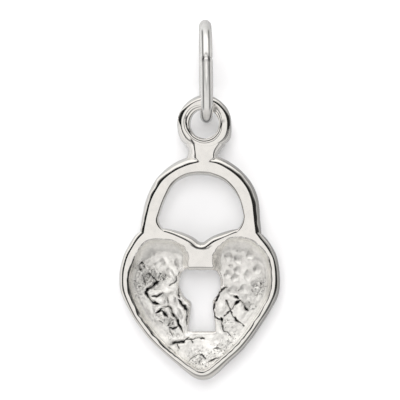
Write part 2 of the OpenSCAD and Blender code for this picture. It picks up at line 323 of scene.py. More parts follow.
# Half width of a crack's painted black shade for that of the crack, how sharp its edge is, how dark a lip
# with a painted highlight may be
CRACK_WIDE = 1.2
CRACK_SHARP = 1.9
CRACK_CLEAR = 0.1
# Where the slope and the raised lip of a crack lie, in half widths from its middle
CRACK_SLOPE = 1.8
CRACK_LIP = 2.8
CRACK_LIP_HALF = 1.5
# Depths at which a crack's painted shade is black and its lip's painted highlight bright in full, and how
# high the lip stands for its depth
CRACK_BLACK = 0.12
CRACK_BRIGHT = 0.16
CRACK_LIP_RISE = 0.25

# Studio: gap of the sheet grows by a step behind the ring, and a cove leads round to the floor
SHEET_HALF = 150.0
SHEET_STEP = 2.05
SHEET_STEP_Z = -3.1
SHEET_STEP_TALL = 3.1
FLOOR_Z = -26.0
COVE = 4.0
SHEET_ROWS = 17
COVE_ROWS = 12
SHEET_WHITE = (0.905, 0.905, 0.915, 1)
BLACK = (0, 0, 0, 1)
WARM_GREY = (1, 0.985, 0.965)
# The sheet as the metal sees it, glowing with a painted shade: strength of its painted glow, its painted
# shades from left to right, its lower end
SHEET_PAINTED_GLOW = 1.2
SHEET_PAINTED_SHADE = (-6, 5, 0.56, 0.26)
SHEET_SEEN_END = -22
# The sheet gets this much more light from all round than the metal does
SHEET_LIGHT = 0.52
# Lamp: height it aims at, rise and turn from straight ahead, distance and size, power in watts
LAMP_AIM = -11
LAMP_RISE = math.radians(21)
LAMP_TURN = math.radians(2)
LAMP_FAR = 300
LAMP_SIZE = 200
LAMP_POWER = 0.38
# Camera: distance, the point it looks at to the right and up, the picture's and the sensor's width
CAMERA_FAR = 300
CAMERA_AT = (-0.3233, -10.248)
PICTURE_WIDE = 24.4
SENSOR = 36

# Rim of the heart, anticlockwise from the foot of the shackle's V, in millimetres:
# edge x, edge z, pan edge x, pan edge z, reach of the side past the edge
RIM = [
    (0.02, -13.19, 0.02, -13.42, 0.40),
    (-0.50, -13.17, -0.50, -13.40, 0.40),
    (-1.00, -12.83, -1.15, -13.10, 0.40),
    (-1.70, -12.48, -1.75, -12.80, 0.33),
    (-2.50, -12.19, -2.45, -12.69, 0.22),
    (-3.30, -12.03, -3.16, -12.69, 0.12),
    (-3.95, -12.55, -3.62, -12.87, 0.32),
    (-4.40, -13.18, -3.99, -13.29, 0.32),
    (-4.74, -13.88, -4.31, -13.93, 0.31),
    (-4.94, -14.85, -4.62, -14.88, 0.31),
    (-4.86, -15.85, -4.57, -15.82, 0.30),
    (-4.33, -17.10, -4.08, -16.98, 0.22),
    (-3.80, -17.93, -3.58, -17.78, 0.22),
    (-3.08, -18.80, -2.88, -18.62, 0.20),
    (-2.35, -19.50, -2.18, -19.31, 0.18),
    (-1.60, -20.11, -1.46, -19.91, 0.20),
    (-0.90, -20.63, -0.80, -20.41, 0.25),
    (-0.40, -20.86, -0.38, -20.63, 0.32),
    (0.08, -20.86, 0.06, -20.62, 0.34),
    (0.55, -20.58, 0.44, -20.36, 0.32),
    (1.25, -19.97, 1.11, -19.78, 0.28),
    (1.98, -19.32, 1.82, -19.15, 0.27),
    (2.60, -18.60, 2.42, -18.45, 0.26),
    (3.17, -17.78, 2.97, -17.65, 0.26),
    (3.70, -16.95, 3.49, -16.84, 0.26),
    (4.16, -16.00, 3.92, -15.94, 0.30),
    (4.29, -15.05, 4.04, -15.04, 0.27),
    (4.18, -13.95, 3.91, -13.98, 0.25),
    (3.88, -13.33, 3.62, -13.42, 0.29),
    (3.38, -12.66, 3.10, -12.90, 0.30),
    (2.80, -12.03, 2.57, -12.62, 0.12),
    (2.02, -12.22, 2.02, -12.55, 0.22),
    (1.40, -12.45, 1.45, -12.64, 0.32),
    (0.62, -12.82, 0.71, -13.05, 0.40),
]

# Shackle, from the left shoulder over the top to the right one:
# outer edge x, z, inner edge x, z, outer reach, inner reach, sink of the back
SHACKLE = [
    (-3.74, -12.52, -2.16, -12.33, 0.28, 0.12, 0.30),
    (-3.70, -12.34, -2.48, -12.18, 0.28, 0.15, 0.24),
    (-3.66, -12.08, -2.78, -11.95, 0.30, 0.17, 0.16),
    (-3.61, -11.77, -2.96, -11.66, 0.33, 0.17, 0.10),
    (-3.55, -11.46, -2.98, -11.40, 0.34, 0.17, 0.05),
    (-3.48, -11.16, -2.91, -11.16, 0.35, 0.16, 0.02),
    (-3.30, -10.43, -2.66, -10.43, 0.38, 0.15, 0),
    (-2.99, -9.76, -2.41, -9.85, 0.42, 0.16, 0),
    (-2.53, -9.08, -2.05, -9.21, 0.47, 0.20, 0),
    (-1.86, -8.54, -1.50, -8.78, 0.50, 0.23, 0),
    (-1.07, -8.17, -0.89, -8.55, 0.50, 0.24, 0),
    (-0.15, -7.95, -0.15, -8.49, 0.40, 0.24, 0),
    (0.70, -8.04, 0.52, -8.60, 0.44, 0.23, 0),
    (1.55, -8.50, 1.25, -8.92, 0.44, 0.21, 0),
    (2.22, -9.09, 1.80, -9.46, 0.41, 0.17, 0),
    (2.64, -9.73, 2.13, -10.03, 0.41, 0.12, 0),
    (2.86, -10.43, 2.31, -10.55, 0.41, 0.10, 0),
    (2.95, -11.16, 2.44, -11.16, 0.38, 0.10, 0.02),
    (2.99, -11.50, 2.43, -11.43, 0.37, 0.11, 0.05),
    (3.03, -11.83, 2.36, -11.73, 0.37, 0.15, 0.10),
    (3.06, -12.12, 2.20, -12.01, 0.36, 0.18, 0.16),
    (3.09, -12.34, 1.92, -12.25, 0.34, 0.18, 0.24),
    (3.12, -12.50, 1.66, -12.37, 0.32, 0.14, 0.30),
]

# Neck, from inside the eye down into the shackle:
# height, flat's left x, right x, left reach, right reach
NECK = [
    (-6.80, -0.61, 0.86, 0.62, 0.38),
    (-6.95, -0.58, 0.74, 0.60, 0.45),
    (-7.14, -0.56, 0.61, 0.50, 0.41),
    (-7.32, -0.54, 0.54, 0.49, 0.35),
    (-7.50, -0.52, 0.51, 0.55, 0.27),
    (-7.68, -0.50, 0.50, 0.64, 0.34),
    (-7.84, -0.36, 0.30, 0.64, 0.45),
    (-8.05, -0.24, 0.16, 0.70, 0.60),
]

# Eye, by the turn from its right side anticlockwise:
# turn, radius where the flat starts, where it ends, outermost radius, softness of the outer edge
EYE = [
    (0, 1.10, 1.38, 1.60, 0.90),
    (45, 1.20, 1.38, 1.66, 0.62),
    (90, 1.16, 1.44, 1.76, 0.34),
    (135, 1.28, 1.38, 1.68, 0.46),
    (165, 1.28, 1.37, 1.67, 0.86),
    (190, 1.24, 1.36, 1.69, 0.30),
    (215, 1.17, 1.33, 1.76, 0.25),
    (240, 1.17, 1.28, 1.66, 0.30),
    (270, 1.20, 1.35, 1.50, 0.40),
    (300, 1.20, 1.42, 1.62, 0.35),
    (325, 1.16, 1.45, 1.80, 0.50),
]

# Mouth of the eye's hole, worn by the ring into ledges: share of the way in, tilt in degrees
MOUTH = [
    (0, 13), (0.10, 16), (0.14, 6), (0.34, 6), (0.38, 16), (0.52, 17),
    (0.56, 6), (0.78, 6), (0.82, 16), (0.90, 20), (1, 45),
]
# Middle of the eye, radius of its hole and a radius outside its mouth
EYE_AT = (-0.03, -5.60)
EYE_HOLE_R = 0.88
EYE_MOUTH_R = 1.2
# Share of the mouth's way in that its ledges take up
LEDGES = 0.94

# Keyhole: a round head cut off flat at the top, over a slot that widens to its foot
KEY_HEAD = (-0.36, -15.34)
KEY_HEAD_R = 1.27
KEY_TOP = -14.52
KEY_SLOT_X = -0.24
KEY_WAIST = -16.75
KEY_WAIST_HALF = 0.67
KEY_FOOT = -18.26
KEY_FOOT_HALF = 0.85
# Points of each arc, pitch of the outline's points, and how many to each side its corners are rounded over
KEY_ARC_POINTS = 60
KEY_STEP = 0.01
KEY_SOFT_STEPS = 16

# Middle of the pan, inside the keyhole, that the heart's rows of points run to
MIDDLE = np.array((-0.28, -16.35))

# Round bumps of the cast floor: x, z, half length, half width, turn, height
BUMPS = [
    (1.38, -16.17, 0.56, 0.36, -30, 0.070),
    (0.93, -16.68, 0.64, 0.44, 80, 0.085),
    (2.09, -17.02, 0.62, 0.46, 60, 0.085),
    (1.42, -17.75, 0.52, 0.50, 60, 0.085),
    (2.55, -16.40, 0.46, 0.36, -20, 0.060),
    (2.05, -18.05, 0.50, 0.40, 40, 0.060),
    (0.90, -18.80, 0.52, 0.40, 20, 0.070),
    (0.05, -19.10, 0.50, 0.40, 0, 0.065),
    (-0.75, -19.45, 0.55, 0.42, 15, 0.070),
    (-1.45, -18.95, 0.45, 0.36, -40, 0.070),
    (-0.30, -20.05, 0.45, 0.28, 0, 0.050),
    (0.62, -19.65, 0.42, 0.30, 30, 0.055),
    (1.55, -18.85, 0.40, 0.32, 40, 0.055),
    (-3.91, -14.29, 0.18, 0.16, 20, 0.150),
    (-3.56, -14.45, 0.20, 0.15, -50, 0.100),
    (-3.38, -14.66, 0.18, 0.15, -50, 0.110),
    (-3.54, -14.86, 0.16, 0.14, 0, 0.110),
    (-3.22, -14.92, 0.18, 0.14, -50, 0.110),
    (-3.38, -15.11, 0.16, 0.13, 0, 0.100),
    (-3.05, -15.18, 0.16, 0.13, -40, 0.110),
    (-3.26, -15.32, 0.18, 0.12, 20, 0.100),
    (-3.54, -15.22, 0.14, 0.13, 0, 0.090),
    (-4.15, -14.80, 0.18, 0.14, 70, 0.050),
    (-4.20, -15.30, 0.20, 0.14, 80, 0.050),
    (-3.95, -15.62, 0.18, 0.14, 60, 0.050),
    (-3.12, -15.92, 0.48, 0.20, 8, 0.110),
    (-2.85, -16.38, 0.42, 0.20, -12, 0.110),
    (-2.05, -14.85, 0.60, 0.20, -52, 0.090),
    (-2.15, -15.30, 0.44, 0.32, -20, 0.080),
    (-2.10, -16.25, 0.34, 0.50, -10, 0.080),
    (-1.80, -16.95, 0.62, 0.28, -62, 0.085),
    (-2.36, -16.96, 0.20, 0.17, 0, 0.110),
    (-2.62, -17.35, 0.18, 0.15, 0, 0.090),
    (-2.28, -17.44, 0.16, 0.18, 0, 0.090),
    (-2.02, -17.42, 0.17, 0.20, 0, 0.100),
    (-2.02, -17.77, 0.17, 0.13, 10, 0.110),
    (-1.94, -17.97, 0.22, 0.11, 8, 0.100),
    (-1.80, -18.34, 0.30, 0.20, 8, 0.110),
    (-1.45, -18.72, 0.13, 0.12, 0, 0.110),
    (-2.50, -18.05, 0.30, 0.16, -55, 0.060),
    (-2.20, -18.55, 0.28, 0.16, -50, 0.060),
    (-2.86, -17.72, 0.40, 0.24, -55, 0.060),
    (-3.30, -17.00, 0.46, 0.26, -60, 0.060),
]

# Round dents of the cast floor, most of them on the right: x, z, half length, half width, turn, depth
DENTS = [
    (1.42, -13.72, 0.29, 0.26, 90, 0.101),
    (1.96, -13.88, 0.31, 0.26, 90, 0.108),
    (2.76, -13.54, 0.33, 0.26, 80, 0.101),
    (3.18, -14.49, 0.30, 0.27, 100, 0.095),
    (1.37, -14.79, 0.29, 0.21, 90, 0.088),
    (1.96, -14.56, 0.25, 0.23, 90, 0.088),
    (1.81, -14.97, 0.28, 0.26, 60, 0.088),
    (2.59, -14.82, 0.35, 0.26, 90, 0.108),
    (1.66, -15.76, 0.30, 0.30, 90, 0.055),
    (2.42, -15.68, 0.37, 0.34, 80, 0.065),
    (3.00, -15.41, 0.32, 0.28, 90, 0.065),
    (2.90, -16.00, 0.32, 0.22, 60, 0.050),
    (2.10, -13.30, 0.26, 0.16, 20, 0.054),
    (1.55, -14.25, 0.16, 0.13, 0, 0.041),
    (-2.78, -14.10, 0.40, 0.22, 40, 0.054),
    (-1.60, -14.20, 0.46, 0.26, -60, 0.061),
]

# Cracks and folds that the metal left as it froze: half width, depth, points x, z
CRACKS = [
    (0.060, 0.16, [(1.34, -15.60), (0.98, -15.68), (0.77, -16.10), (0.52, -16.60), (0.50, -17.00),
                   (0.62, -17.42), (0.78, -17.52), (0.98, -17.52)]),
    (0.075, 0.16, [(0.96, -17.42), (0.97, -17.50), (0.99, -17.86)]),
    (0.055, 0.14, [(1.10, -18.20), (1.30, -18.30), (1.62, -18.58)]),
    (0.050, 0.12, [(0.99, -17.82), (1.10, -18.20)]),
    (0.050, 0.14, [(1.10, -17.36), (1.34, -17.14), (1.52, -16.98)]),
    (0.075, 0.16, [(1.27, -16.36), (1.46, -16.74), (1.52, -16.94), (1.58, -17.06)]),
    (0.060, 0.16, [(1.52, -16.94), (1.80, -16.62), (2.06, -16.40), (2.28, -16.50), (2.44, -16.78)]),
    (0.080, 0.16, [(2.34, -16.62), (2.44, -16.80), (2.60, -17.02)]),
    (0.055, 0.14, [(1.60, -17.02), (1.70, -17.32), (1.88, -17.58), (2.10, -17.74), (2.32, -17.90)]),
    (0.085, 0.15, [(1.78, -16.06), (1.88, -16.18), (2.00, -16.28)]),
    (0.060, 0.12, [(3.32, -15.28), (3.44, -15.42)]),
    (0.050, 0.10, [(3.05, -16.10), (3.20, -16.02)]),
    (0.070, 0.16, [(-3.70, -15.78), (-3.62, -16.02), (-3.44, -16.28), (-3.30, -16.46), (-2.76, -16.62)]),
    (0.060, 0.14, [(-3.28, -16.18), (-2.98, -16.12), (-2.58, -15.92)]),
    (0.080, 0.15, [(-3.66, -15.84), (-3.52, -15.66), (-3.25, -15.50), (-3.05, -15.34), (-2.86, -15.16)]),
    (0.045, 0.12, [(-3.62, -14.66), (-3.30, -14.86), (-3.08, -15.10), (-2.90, -15.40)]),
    (0.040, 0.08, [(-3.86, -14.86), (-3.76, -15.20), (-3.66, -15.50)]),
    (0.060, 0.15, [(-4.06, -14.16), (-3.92, -14.10), (-3.80, -14.16)]),
    (0.060, 0.15, [(-3.74, -14.22), (-3.72, -14.34)]),
    (0.070, 0.16, [(-3.90, -14.42), (-3.98, -14.48), (-4.06, -14.36)]),
    (0.060, 0.14, [(-2.78, -14.74), (-2.70, -14.80)]),
    (0.070, 0.16, [(-2.60, -15.02), (-2.56, -15.16)]),
    (0.050, 0.12, [(-2.80, -15.04), (-2.76, -15.12)]),
    (0.060, 0.14, [(1.33, -17.60), (1.38, -17.64)]),
    (0.055, 0.13, [(2.02, -15.78), (2.06, -15.82)]),
    (0.050, 0.12, [(2.78, -15.72), (2.86, -15.84)]),
    (0.075, 0.16, [(-2.60, -16.76), (-2.26, -16.74), (-2.02, -17.12), (-1.76, -17.60), (-1.52, -18.05),
                   (-1.38, -18.42)]),
    (0.080, 0.16, [(-3.04, -17.10), (-2.84, -17.04), (-2.66, -16.92)]),
    (0.090, 0.16, [(-2.68, -17.06), (-2.52, -17.20), (-2.34, -17.42)]),
    (0.055, 0.14, [(-2.84, -17.64), (-2.64, -17.80)]),
    (0.050, 0.13, [(-2.30, -17.86), (-2.12, -17.76), (-1.96, -17.78)]),
    (0.055, 0.13, [(-2.20, -18.04), (-1.95, -18.08), (-1.70, -18.00)]),
    (0.050, 0.13, [(-2.20, -18.16), (-2.16, -18.38), (-2.04, -18.56)]),
    (0.085, 0.18, [(-2.14, -19.08), (-1.85, -18.98), (-1.45, -18.92), (-1.15, -18.78), (-1.02, -18.64)]),
    (0.055, 0.15, [(-1.22, -18.84), (-0.80, -18.74), (-0.42, -18.69), (-0.02, -18.70)]),
    (0.045, 0.10, [(-0.85, -18.80), (-0.75, -19.00)]),
    (0.050, 0.12, [(-1.72, -19.05), (-1.62, -19.25), (-1.66, -19.45)]),
    (0.090, 0.18, [(-2.20, -15.46), (-1.95, -15.32), (-1.80, -15.10), (-1.76, -14.86)]),
    (0.080, 0.16, [(-1.66, -15.60), (-1.66, -15.95), (-1.60, -16.20)]),
    (0.090, 0.17, [(-1.66, -16.34), (-1.40, -16.68), (-1.14, -16.98), (-1.14, -17.36), (-1.20, -17.92)]),
    (0.045, 0.08, [(-2.36, -16.15), (-2.26, -16.62)]),
    (0.045, 0.10, [(-0.95, -20.00), (-0.60, -19.72), (-0.20, -19.70), (0.05, -19.95)]),
    (0.045, 0.10, [(0.45, -19.35), (0.80, -19.30), (1.05, -19.50)]),
    (0.045, 0.10, [(0.20, -20.15), (0.62, -19.92), (1.05, -19.78)]),
]

# Painted shadows in the eye's mouth, beside the neck and at the V's foot: half width, strength, points x, z
PAINTED_EDGE_SHADOWS = [
    (0.046, 1.0, [(-1.12, -5.12), (-1.14, -5.49), (-1.10, -5.73), (-0.96, -6.04), (-0.81, -6.25)]),
    (0.046, 1.0, [(-0.86, -6.50), (-0.72, -6.72), (-0.63, -6.93)]),
    (0.044, 1.0, [(1.07, -5.36), (1.02, -5.67), (0.93, -5.93)]),
    (0.030, 0.7, [(0.62, -4.55), (0.84, -4.78), (0.98, -5.02)]),
    (0.044, 1.0, [(-0.60, -7.52), (-0.56, -7.74)]),
    (0.046, 0.9, [(-0.92, -12.90), (-0.50, -13.17), (-0.10, -13.22), (0.22, -13.17), (0.42, -13.02)]),
]

# Rough patches of the cast floor: x, z, radius, strength
ROUGH = [
    (-3.90, -14.35, 0.45, 0.8),
    (-3.45, -14.85, 0.55, 1.0),
    (-3.25, -15.35, 0.50, 0.9),
    (-4.05, -15.25, 0.50, 0.8),
    (-2.62, -14.95, 0.40, 0.9),
    (-4.10, -16.00, 0.45, 0.5),
    (-2.60, -17.30, 0.60, 0.5),
    (-1.90, -18.60, 0.60, 0.5),
    (-0.40, -20.10, 0.90, 1.0),
    (0.80, -19.55, 0.80, 1.0),
    (1.70, -18.80, 0.70, 0.8),
    (3.30, -15.55, 0.60, 0.8),
    (2.75, -16.70, 0.50, 0.7),
    (1.35, -17.90, 0.50, 0.6),
]

# Darker stretches of the cast floor: x, z, half length, half width, turn, strength
DARKER_STRETCHES = [
    (-3.30, -15.00, 0.85, 0.38, -52, 0.30),
    (-3.95, -14.35, 0.32, 0.30, 0, 0.30),
    (-3.15, -15.42, 0.52, 0.22, 36, 0.50),
    (-2.72, -16.02, 0.40, 0.22, 10, 0.35),
    (-2.30, -16.45, 0.40, 0.16, -70, 0.20),
    (-2.05, -17.75, 0.95, 0.34, -58, 0.16),
    (2.55, -16.60, 0.36, 0.22, -40, 0.30),
    (-1.90, -18.90, 0.50, 0.22, 0, 0.30),
]

# Painted highlight streaks of the cast floor: x, z, half length, half width, turn, strength
PAINTED_HIGHLIGHT_STREAKS = [
    (-2.40, -13.92, 0.44, 0.12, -62, 1.0),
    (-2.02, -14.45, 0.34, 0.14, -44, 0.8),
    (-1.78, -14.80, 0.30, 0.12, -66, 0.7),
    (-2.90, -14.02, 0.50, 0.16, -62, 0.5),
    (-1.55, -14.05, 0.50, 0.10, -80, 0.6),
    (-1.70, -15.15, 0.16, 0.22, -20, 0.9),
    (-2.45, -15.75, 0.60, 0.14, 22, 0.8),
    (-2.30, -15.40, 0.34, 0.30, 0, 0.5),
    (-2.85, -16.85, 0.40, 0.10, 20, 0.7),
    (-3.45, -16.65, 0.30, 0.14, -40, 0.5),
    (-1.50, -16.30, 0.12, 0.40, 0, 0.7),
    (-1.20, -17.30, 0.10, 0.50, 0, 0.8),
    (-2.95, -17.50, 0.42, 0.10, -52, 0.7),
    (-2.50, -18.00, 0.42, 0.10, -50, 0.6),
    (-0.60, -19.20, 0.60, 0.30, 20, 0.7),
    (0.10, -19.75, 0.36, 0.20, -20, 0.8),
    (0.55, -18.70, 0.42, 0.22, 30, 0.6),
    (2.05, -17.95, 0.50, 0.16, 50, 0.6),
    (2.62, -17.00, 0.16, 0.40, -20, 0.5),
    (3.30, -16.10, 0.16, 0.36, -20, 0.5),
    (1.75, -17.20, 1.00, 0.85, -40, 0.4),
    (-0.10, -19.40, 1.40, 0.80, 0, 0.4),
    (2.60, -15.10, 0.90, 0.60, -60, 0.2),
]

# Pebbled patches of the cast floor: x, z, half length, half width, turn, strength
PEBBLED = [
    (-3.42, -14.98, 0.95, 0.48, -54, 1.3),
    (-3.95, -14.32, 0.30, 0.30, 0, 1.0),
    (-2.60, -14.95, 0.36, 0.34, 0, 0.9),
    (-2.05, -17.75, 0.90, 0.30, -58, 0.9),
    (-0.10, -20.00, 0.90, 0.34, 10, 1.1),
    (1.15, -19.35, 0.90, 0.36, 42, 1.1),
    (3.15, -15.55, 0.50, 0.40, -60, 1.0),
    (2.65, -16.75, 0.40, 0.34, 0, 0.8),
]

# What the metal sees, by the angle off the way that the flat face looks: degrees, brightness
SEEN = {
    "right": [(0, 0.87), (20, 0.86), (24, 0.02), (49, 0.02), (66, 0.42), (100, 0.60), (150, 0.9)],
    "left": [(0, 0.87), (20, 0.86), (24, 0.01), (39, 0.02), (47, 0.95), (66, 0.75), (98, 0.44), (150, 0.5)],
    "up": [(0, 0.87), (20, 0.86), (24, 0.02), (37, 0.03), (46, 1.1), (95, 1.1), (125, 0.9), (160, 0.9)],
    "down": [(0, 0.87), (20, 0.86), (26, 0.36), (41, 0.36), (54, 0.58), (95, 0.64), (130, 0.5), (160, 0.6)],
}


def catmull(a, b, c, d, t):
    """A smooth curve's row between b and c."""
    return 0.5 * (
        2 * b + (c - a) * t + (2 * a - 5 * b + 4 * c - d) * t * t + (3 * b - a - 3 * c + d) * t**3
    )


def smooth(rows, parts, closed=False):
    """Rows on a smooth curve through the given ones."""
    rows = np.array(rows, float)
    last = len(rows) - 1

    def row(i):
        return rows[i % len(rows)] if closed else rows[min(max(i, 0), last)]

    run = [
        catmull(row(i - 1), row(i), row(i + 1), row(i + 2), k / parts)
        for i in range(len(rows) if closed else last)
        for k in range(parts)
    ]
    return np.array(run if closed else [*run, rows[last]])


def ease(v):
    """0 to 1 with soft ends."""
    t = np.clip(v, 0, 1)
    return t * t * (3 - 2 * t)


def fade(v, name):
    """0 where a named way starts, 1 from its end on."""
    start, end = FADES[name]
    return ease((v - start) / (end - start))


def band(v, name):
    """1 between the ends of a named band, which fades in at its head and at its foot."""
    return fade(v, name) * fade(v, name + " foot")


def stroke(near, half, weight=1.0):
    """1 in the middle of a drawn line, 0 beside it, by the distance from its middle. A heavier line is
    full over more of its width."""
    return np.clip(weight - near / half, 0, 1)


def quarter(steps):
    """Cosine and sine at even steps over a quarter turn, from 0 on."""
    turns = np.linspace(0, math.pi / 2, steps + 1)
    return list(zip(np.cos(turns), np.sin(turns)))


def points(x, y, z):
    """Rows of points in metres from coordinates in millimetres."""
    return np.stack(np.broadcast_arrays(x, y, z), axis=-1) * MM


def away(a, b):
    """Distance between points."""
    return np.linalg.norm(a - b, axis=-1)


def deselect_all():
    for thing in bpy.context.selected_objects:
        thing.select_set(False)


def turn_along(thing, way):
    """Turns a lamp or camera so that it looks along a direction."""
    thing.rotation_mode = "QUATERNION"
    thing.rotation_quaternion = way.to_track_quat("-Z", "Y")


def make_active(piece):
    deselect_all()
    piece.select_set(True)
    bpy.context.view_layer.objects.active = piece


def loft(name, sections, closed=False):
    """Draws the first section from a circle, and extrudes its edges from one section to the next.
    A closed loft ends on its first section."""
    columns = len(sections[0])
    if closed:
        sections = [*sections, sections[0]]
    deselect_all()
    bpy.ops.mesh.primitive_circle_add(vertices=columns, radius=MM, location=(0, 0, 0))
    piece = bpy.context.object
    piece.name = name
    piece.data.name = name
    bpy.ops.object.mode_set(mode="EDIT")
    bpy.ops.mesh.select_mode(type="EDGE")
    bpy.ops.mesh.select_all(action="SELECT")
    shape = bmesh.from_edit_mesh(piece.data)
    column = shape.verts.layers.int.new("column")
    for i, point in enumerate(shape.verts):
        point[column] = i
        point.co = sections[0][i]
    for section in sections[1:]:
        bpy.ops.mesh.extrude_edges_move()
        shape = bmesh.from_edit_mesh(piece.data)
        column = shape.verts.layers.int["column"]
        row = section.tolist()
        for point in shape.verts:
            if point.select:
                point.co = row[point[column]]
    bpy.ops.mesh.select_all(action="SELECT")
    if closed:
        bpy.ops.mesh.remove_doubles(threshold=WELD)
    else:
        bpy.ops.mesh.fill_holes(sides=0)
    bpy.ops.mesh.normals_make_consistent(inside=False)
    bpy.ops.object.mode_set(mode="OBJECT")
    return piece


def shade_smooth(piece, edge):
    """Shades the piece smooth, but for edges that are sharper than an angle in degrees."""
    make_active(piece)
    bpy.ops.object.shade_smooth_by_angle(angle=math.radians(edge))


def unite(piece, others):
    """Fuses the others into the piece, as one casting."""
    for other in others:
        make_active(piece)
        union = piece.modifiers.new("union", "BOOLEAN")
        union.operation = "UNION"
        union.solver = "MANIFOLD"
        union.object = other
        bpy.ops.object.modifier_apply(modifier=union.name)
        bpy.data.objects.remove(other)


def arc(middle, radius, start, end):
    """Points on an arc from one angle to another."""
    turn = np.radians(np.linspace(start, end, KEY_ARC_POINTS))
    return np.stack([middle[0] + radius * np.cos(turn), middle[1] + radius * np.sin(turn)], 1)


def keyhole_outline():
    """The keyhole's outline in X and Z, round corners and all, as angle and radius about MIDDLE."""
    right = KEY_SLOT_X + KEY_WAIST_HALF
    left = KEY_SLOT_X - KEY_WAIST_HALF
    start = math.degrees(math.asin((KEY_TOP - KEY_HEAD[1]) / KEY_HEAD_R))
    right_end = -math.degrees(math.acos((right - KEY_HEAD[0]) / KEY_HEAD_R))
    left_start = -180 + math.degrees(math.acos((KEY_HEAD[0] - left) / KEY_HEAD_R))
    around = np.vstack([
        arc(KEY_HEAD, KEY_HEAD_R, start, right_end),
        [(right, KEY_WAIST), (KEY_SLOT_X + KEY_FOOT_HALF, KEY_FOOT)],
        [(KEY_SLOT_X - KEY_FOOT_HALF, KEY_FOOT), (left, KEY_WAIST)],
        arc(KEY_HEAD, KEY_HEAD_R, left_start, -180 - start),
    ])
    around = np.vstack([around, around[:1]])
    run = np.concatenate([[0], np.cumsum(away(around[1:], around[:-1]))])
    even = np.linspace(0, run[-1], int(run[-1] / KEY_STEP), endpoint=False)
    dense = np.stack([np.interp(even, run, around[:, 0]), np.interp(even, run, around[:, 1])], 1)
    near = range(-KEY_SOFT_STEPS, KEY_SOFT_STEPS + 1)
    return polar_table(sum(np.roll(dense, k, axis=0) for k in near) / len(near))


def polar_table(rows):
    """Angle and radius about MIDDLE of an outline's points, in the order of the angle."""
    off = rows - MIDDLE
    turn = np.arctan2(off[:, 1], off[:, 0])
    order = np.argsort(turn)
    turn, far = turn[order], np.hypot(off[:, 0], off[:, 1])[order]
    return np.concatenate([turn - 2 * np.pi, turn, turn + 2 * np.pi]), np.tile(far, 3)


def bridge(x, z):
    """1 on the flat bridge from the V to the keyhole, 0 beside and below it."""
    up = np.clip((z - BRIDGE_Z) / BRIDGE_TALL, 0, 1)
    half = BRIDGE_HALF + BRIDGE_SPREAD * up**4
    beside = 1 - ease((np.abs(x - BRIDGE_X) - half) / BRIDGE_SOFT)
    return beside * fade(z, "bridge foot")


def in_oval(x, z, row):
    """Place of points along and across an oval of a table, both 1 at its edge."""
    at_x, at_z, long, wide, turn = row[:5]
    c, s = math.cos(math.radians(turn)), math.sin(math.radians(turn))
    return ((x - at_x) * c + (z - at_z) * s) / long, ((z - at_z) * c - (x - at_x) * s) / wide


def caps(x, z, table):
    """Height of the round caps of a table, the highest of those that meet."""
    height = np.zeros_like(x)
    for row in table:
        along, across = in_oval(x, z, row)
        height = np.maximum(height, row[5] * (1 - np.clip(along**2 + across**2, 0, 1)))
    return height


def near_line(x, z, rows):
    """Distance from points to a line through the rows, and along the line to its nearer end."""
    near, along = np.full_like(x, np.inf), np.zeros_like(x)
    run = 0.0
    for (ax, az), (bx, bz) in zip(rows[:-1], rows[1:]):
        run_x, run_z = bx - ax, bz - az
        long = math.hypot(run_x, run_z)
        share = np.clip(((x - ax) * run_x + (z - az) * run_z) / long**2, 0, 1)
        far = np.hypot(x - ax - share * run_x, z - az - share * run_z)
        along = np.where(far < near, run + share * long, along)
        near = np.minimum(near, far)
        run += long
    return near, np.minimum(along, run - along)


def cracks(x, z):
    """Depth of the cracks with their raised lips, the painted black shade in them and the painted highlight
    on the lips.
    """
    patchy = CRACK_PLAIN + CRACK_COARSE * grain(x, z, "crack") + CRACK_FINE * grain(x, z, "fine crack")
    patchy = np.clip(patchy, *CRACK_RANGE)
    depth, dark, lip = np.zeros_like(x), np.zeros_like(x), np.zeros_like(x)
    for half, deep, rows in CRACKS:
        near, end = near_line(x, z, rows)
        taper = CRACK_TIP + (1 - CRACK_TIP) * np.clip(end / CRACK_TAPER, 0, 1)
        near = near / (half * CRACK_WIDTH * taper)
        depth = np.maximum(depth, deep * patchy * stroke(near, CRACK_SLOPE))
        black = np.clip(CRACK_SHARP * (CRACK_WIDE * patchy - near), 0, 1)
        dark = np.maximum(dark, black * min(deep / CRACK_BLACK, 1))
        lip = np.maximum(lip, deep * stroke(np.abs(near - CRACK_LIP), CRACK_LIP_HALF))
    bright = np.clip(lip / CRACK_BRIGHT * patchy * (dark < CRACK_CLEAR), 0, 1)
    return depth - CRACK_LIP_RISE * lip * (depth == 0), dark, bright


def painted_dent_halves(x, z):
    """1 on the lower part of each dent, which gets a painted highlight, and 1 on its upper part, which gets
    a painted shade.
    """
    bright, dull = np.zeros_like(x), np.zeros_like(x)
    for row in DENTS:
        along, across = in_oval(x, z, row)
        at_z, long, deep = row[1], row[2], row[5]
        inside = np.clip((1 - along**2 - across**2) / DENT_SOFT, 0, 1) * min(deep / DENT_FULL, 1)
        below = (at_z - z) / long
        bright = np.maximum(bright, inside * fade(below, "painted highlight of a dent from its middle down"))
        dull = np.maximum(dull, inside * fade(below, "painted shade of a dent from its middle down"))
    return bright, dull


def pebbles(x, z):
    """How dark the painted shade in the seams between the pebbles of the pebbled patches is, broken here
    and there.
    """
    share = np.clip(caps(x, z, PEBBLED), 0, 1)
    seam = np.zeros_like(x)
    for k in np.flatnonzero(share > 0.02):
        spot = Vector((x.flat[k] * PEBBLE_PITCH, PEBBLE_LAYER, z.flat[k] * PEBBLE_PITCH))
        near, _ = noise.voronoi(spot)
        seam.flat[k] = max(0.0, 1 - (near[1] - near[0]) / PEBBLE_SEAM)
    return PEBBLE_PAINTED_SHADE * seam * share * np.clip(0.5 + PEBBLE_BROKEN * grain(x, z, "pebbles"), 0, 1)


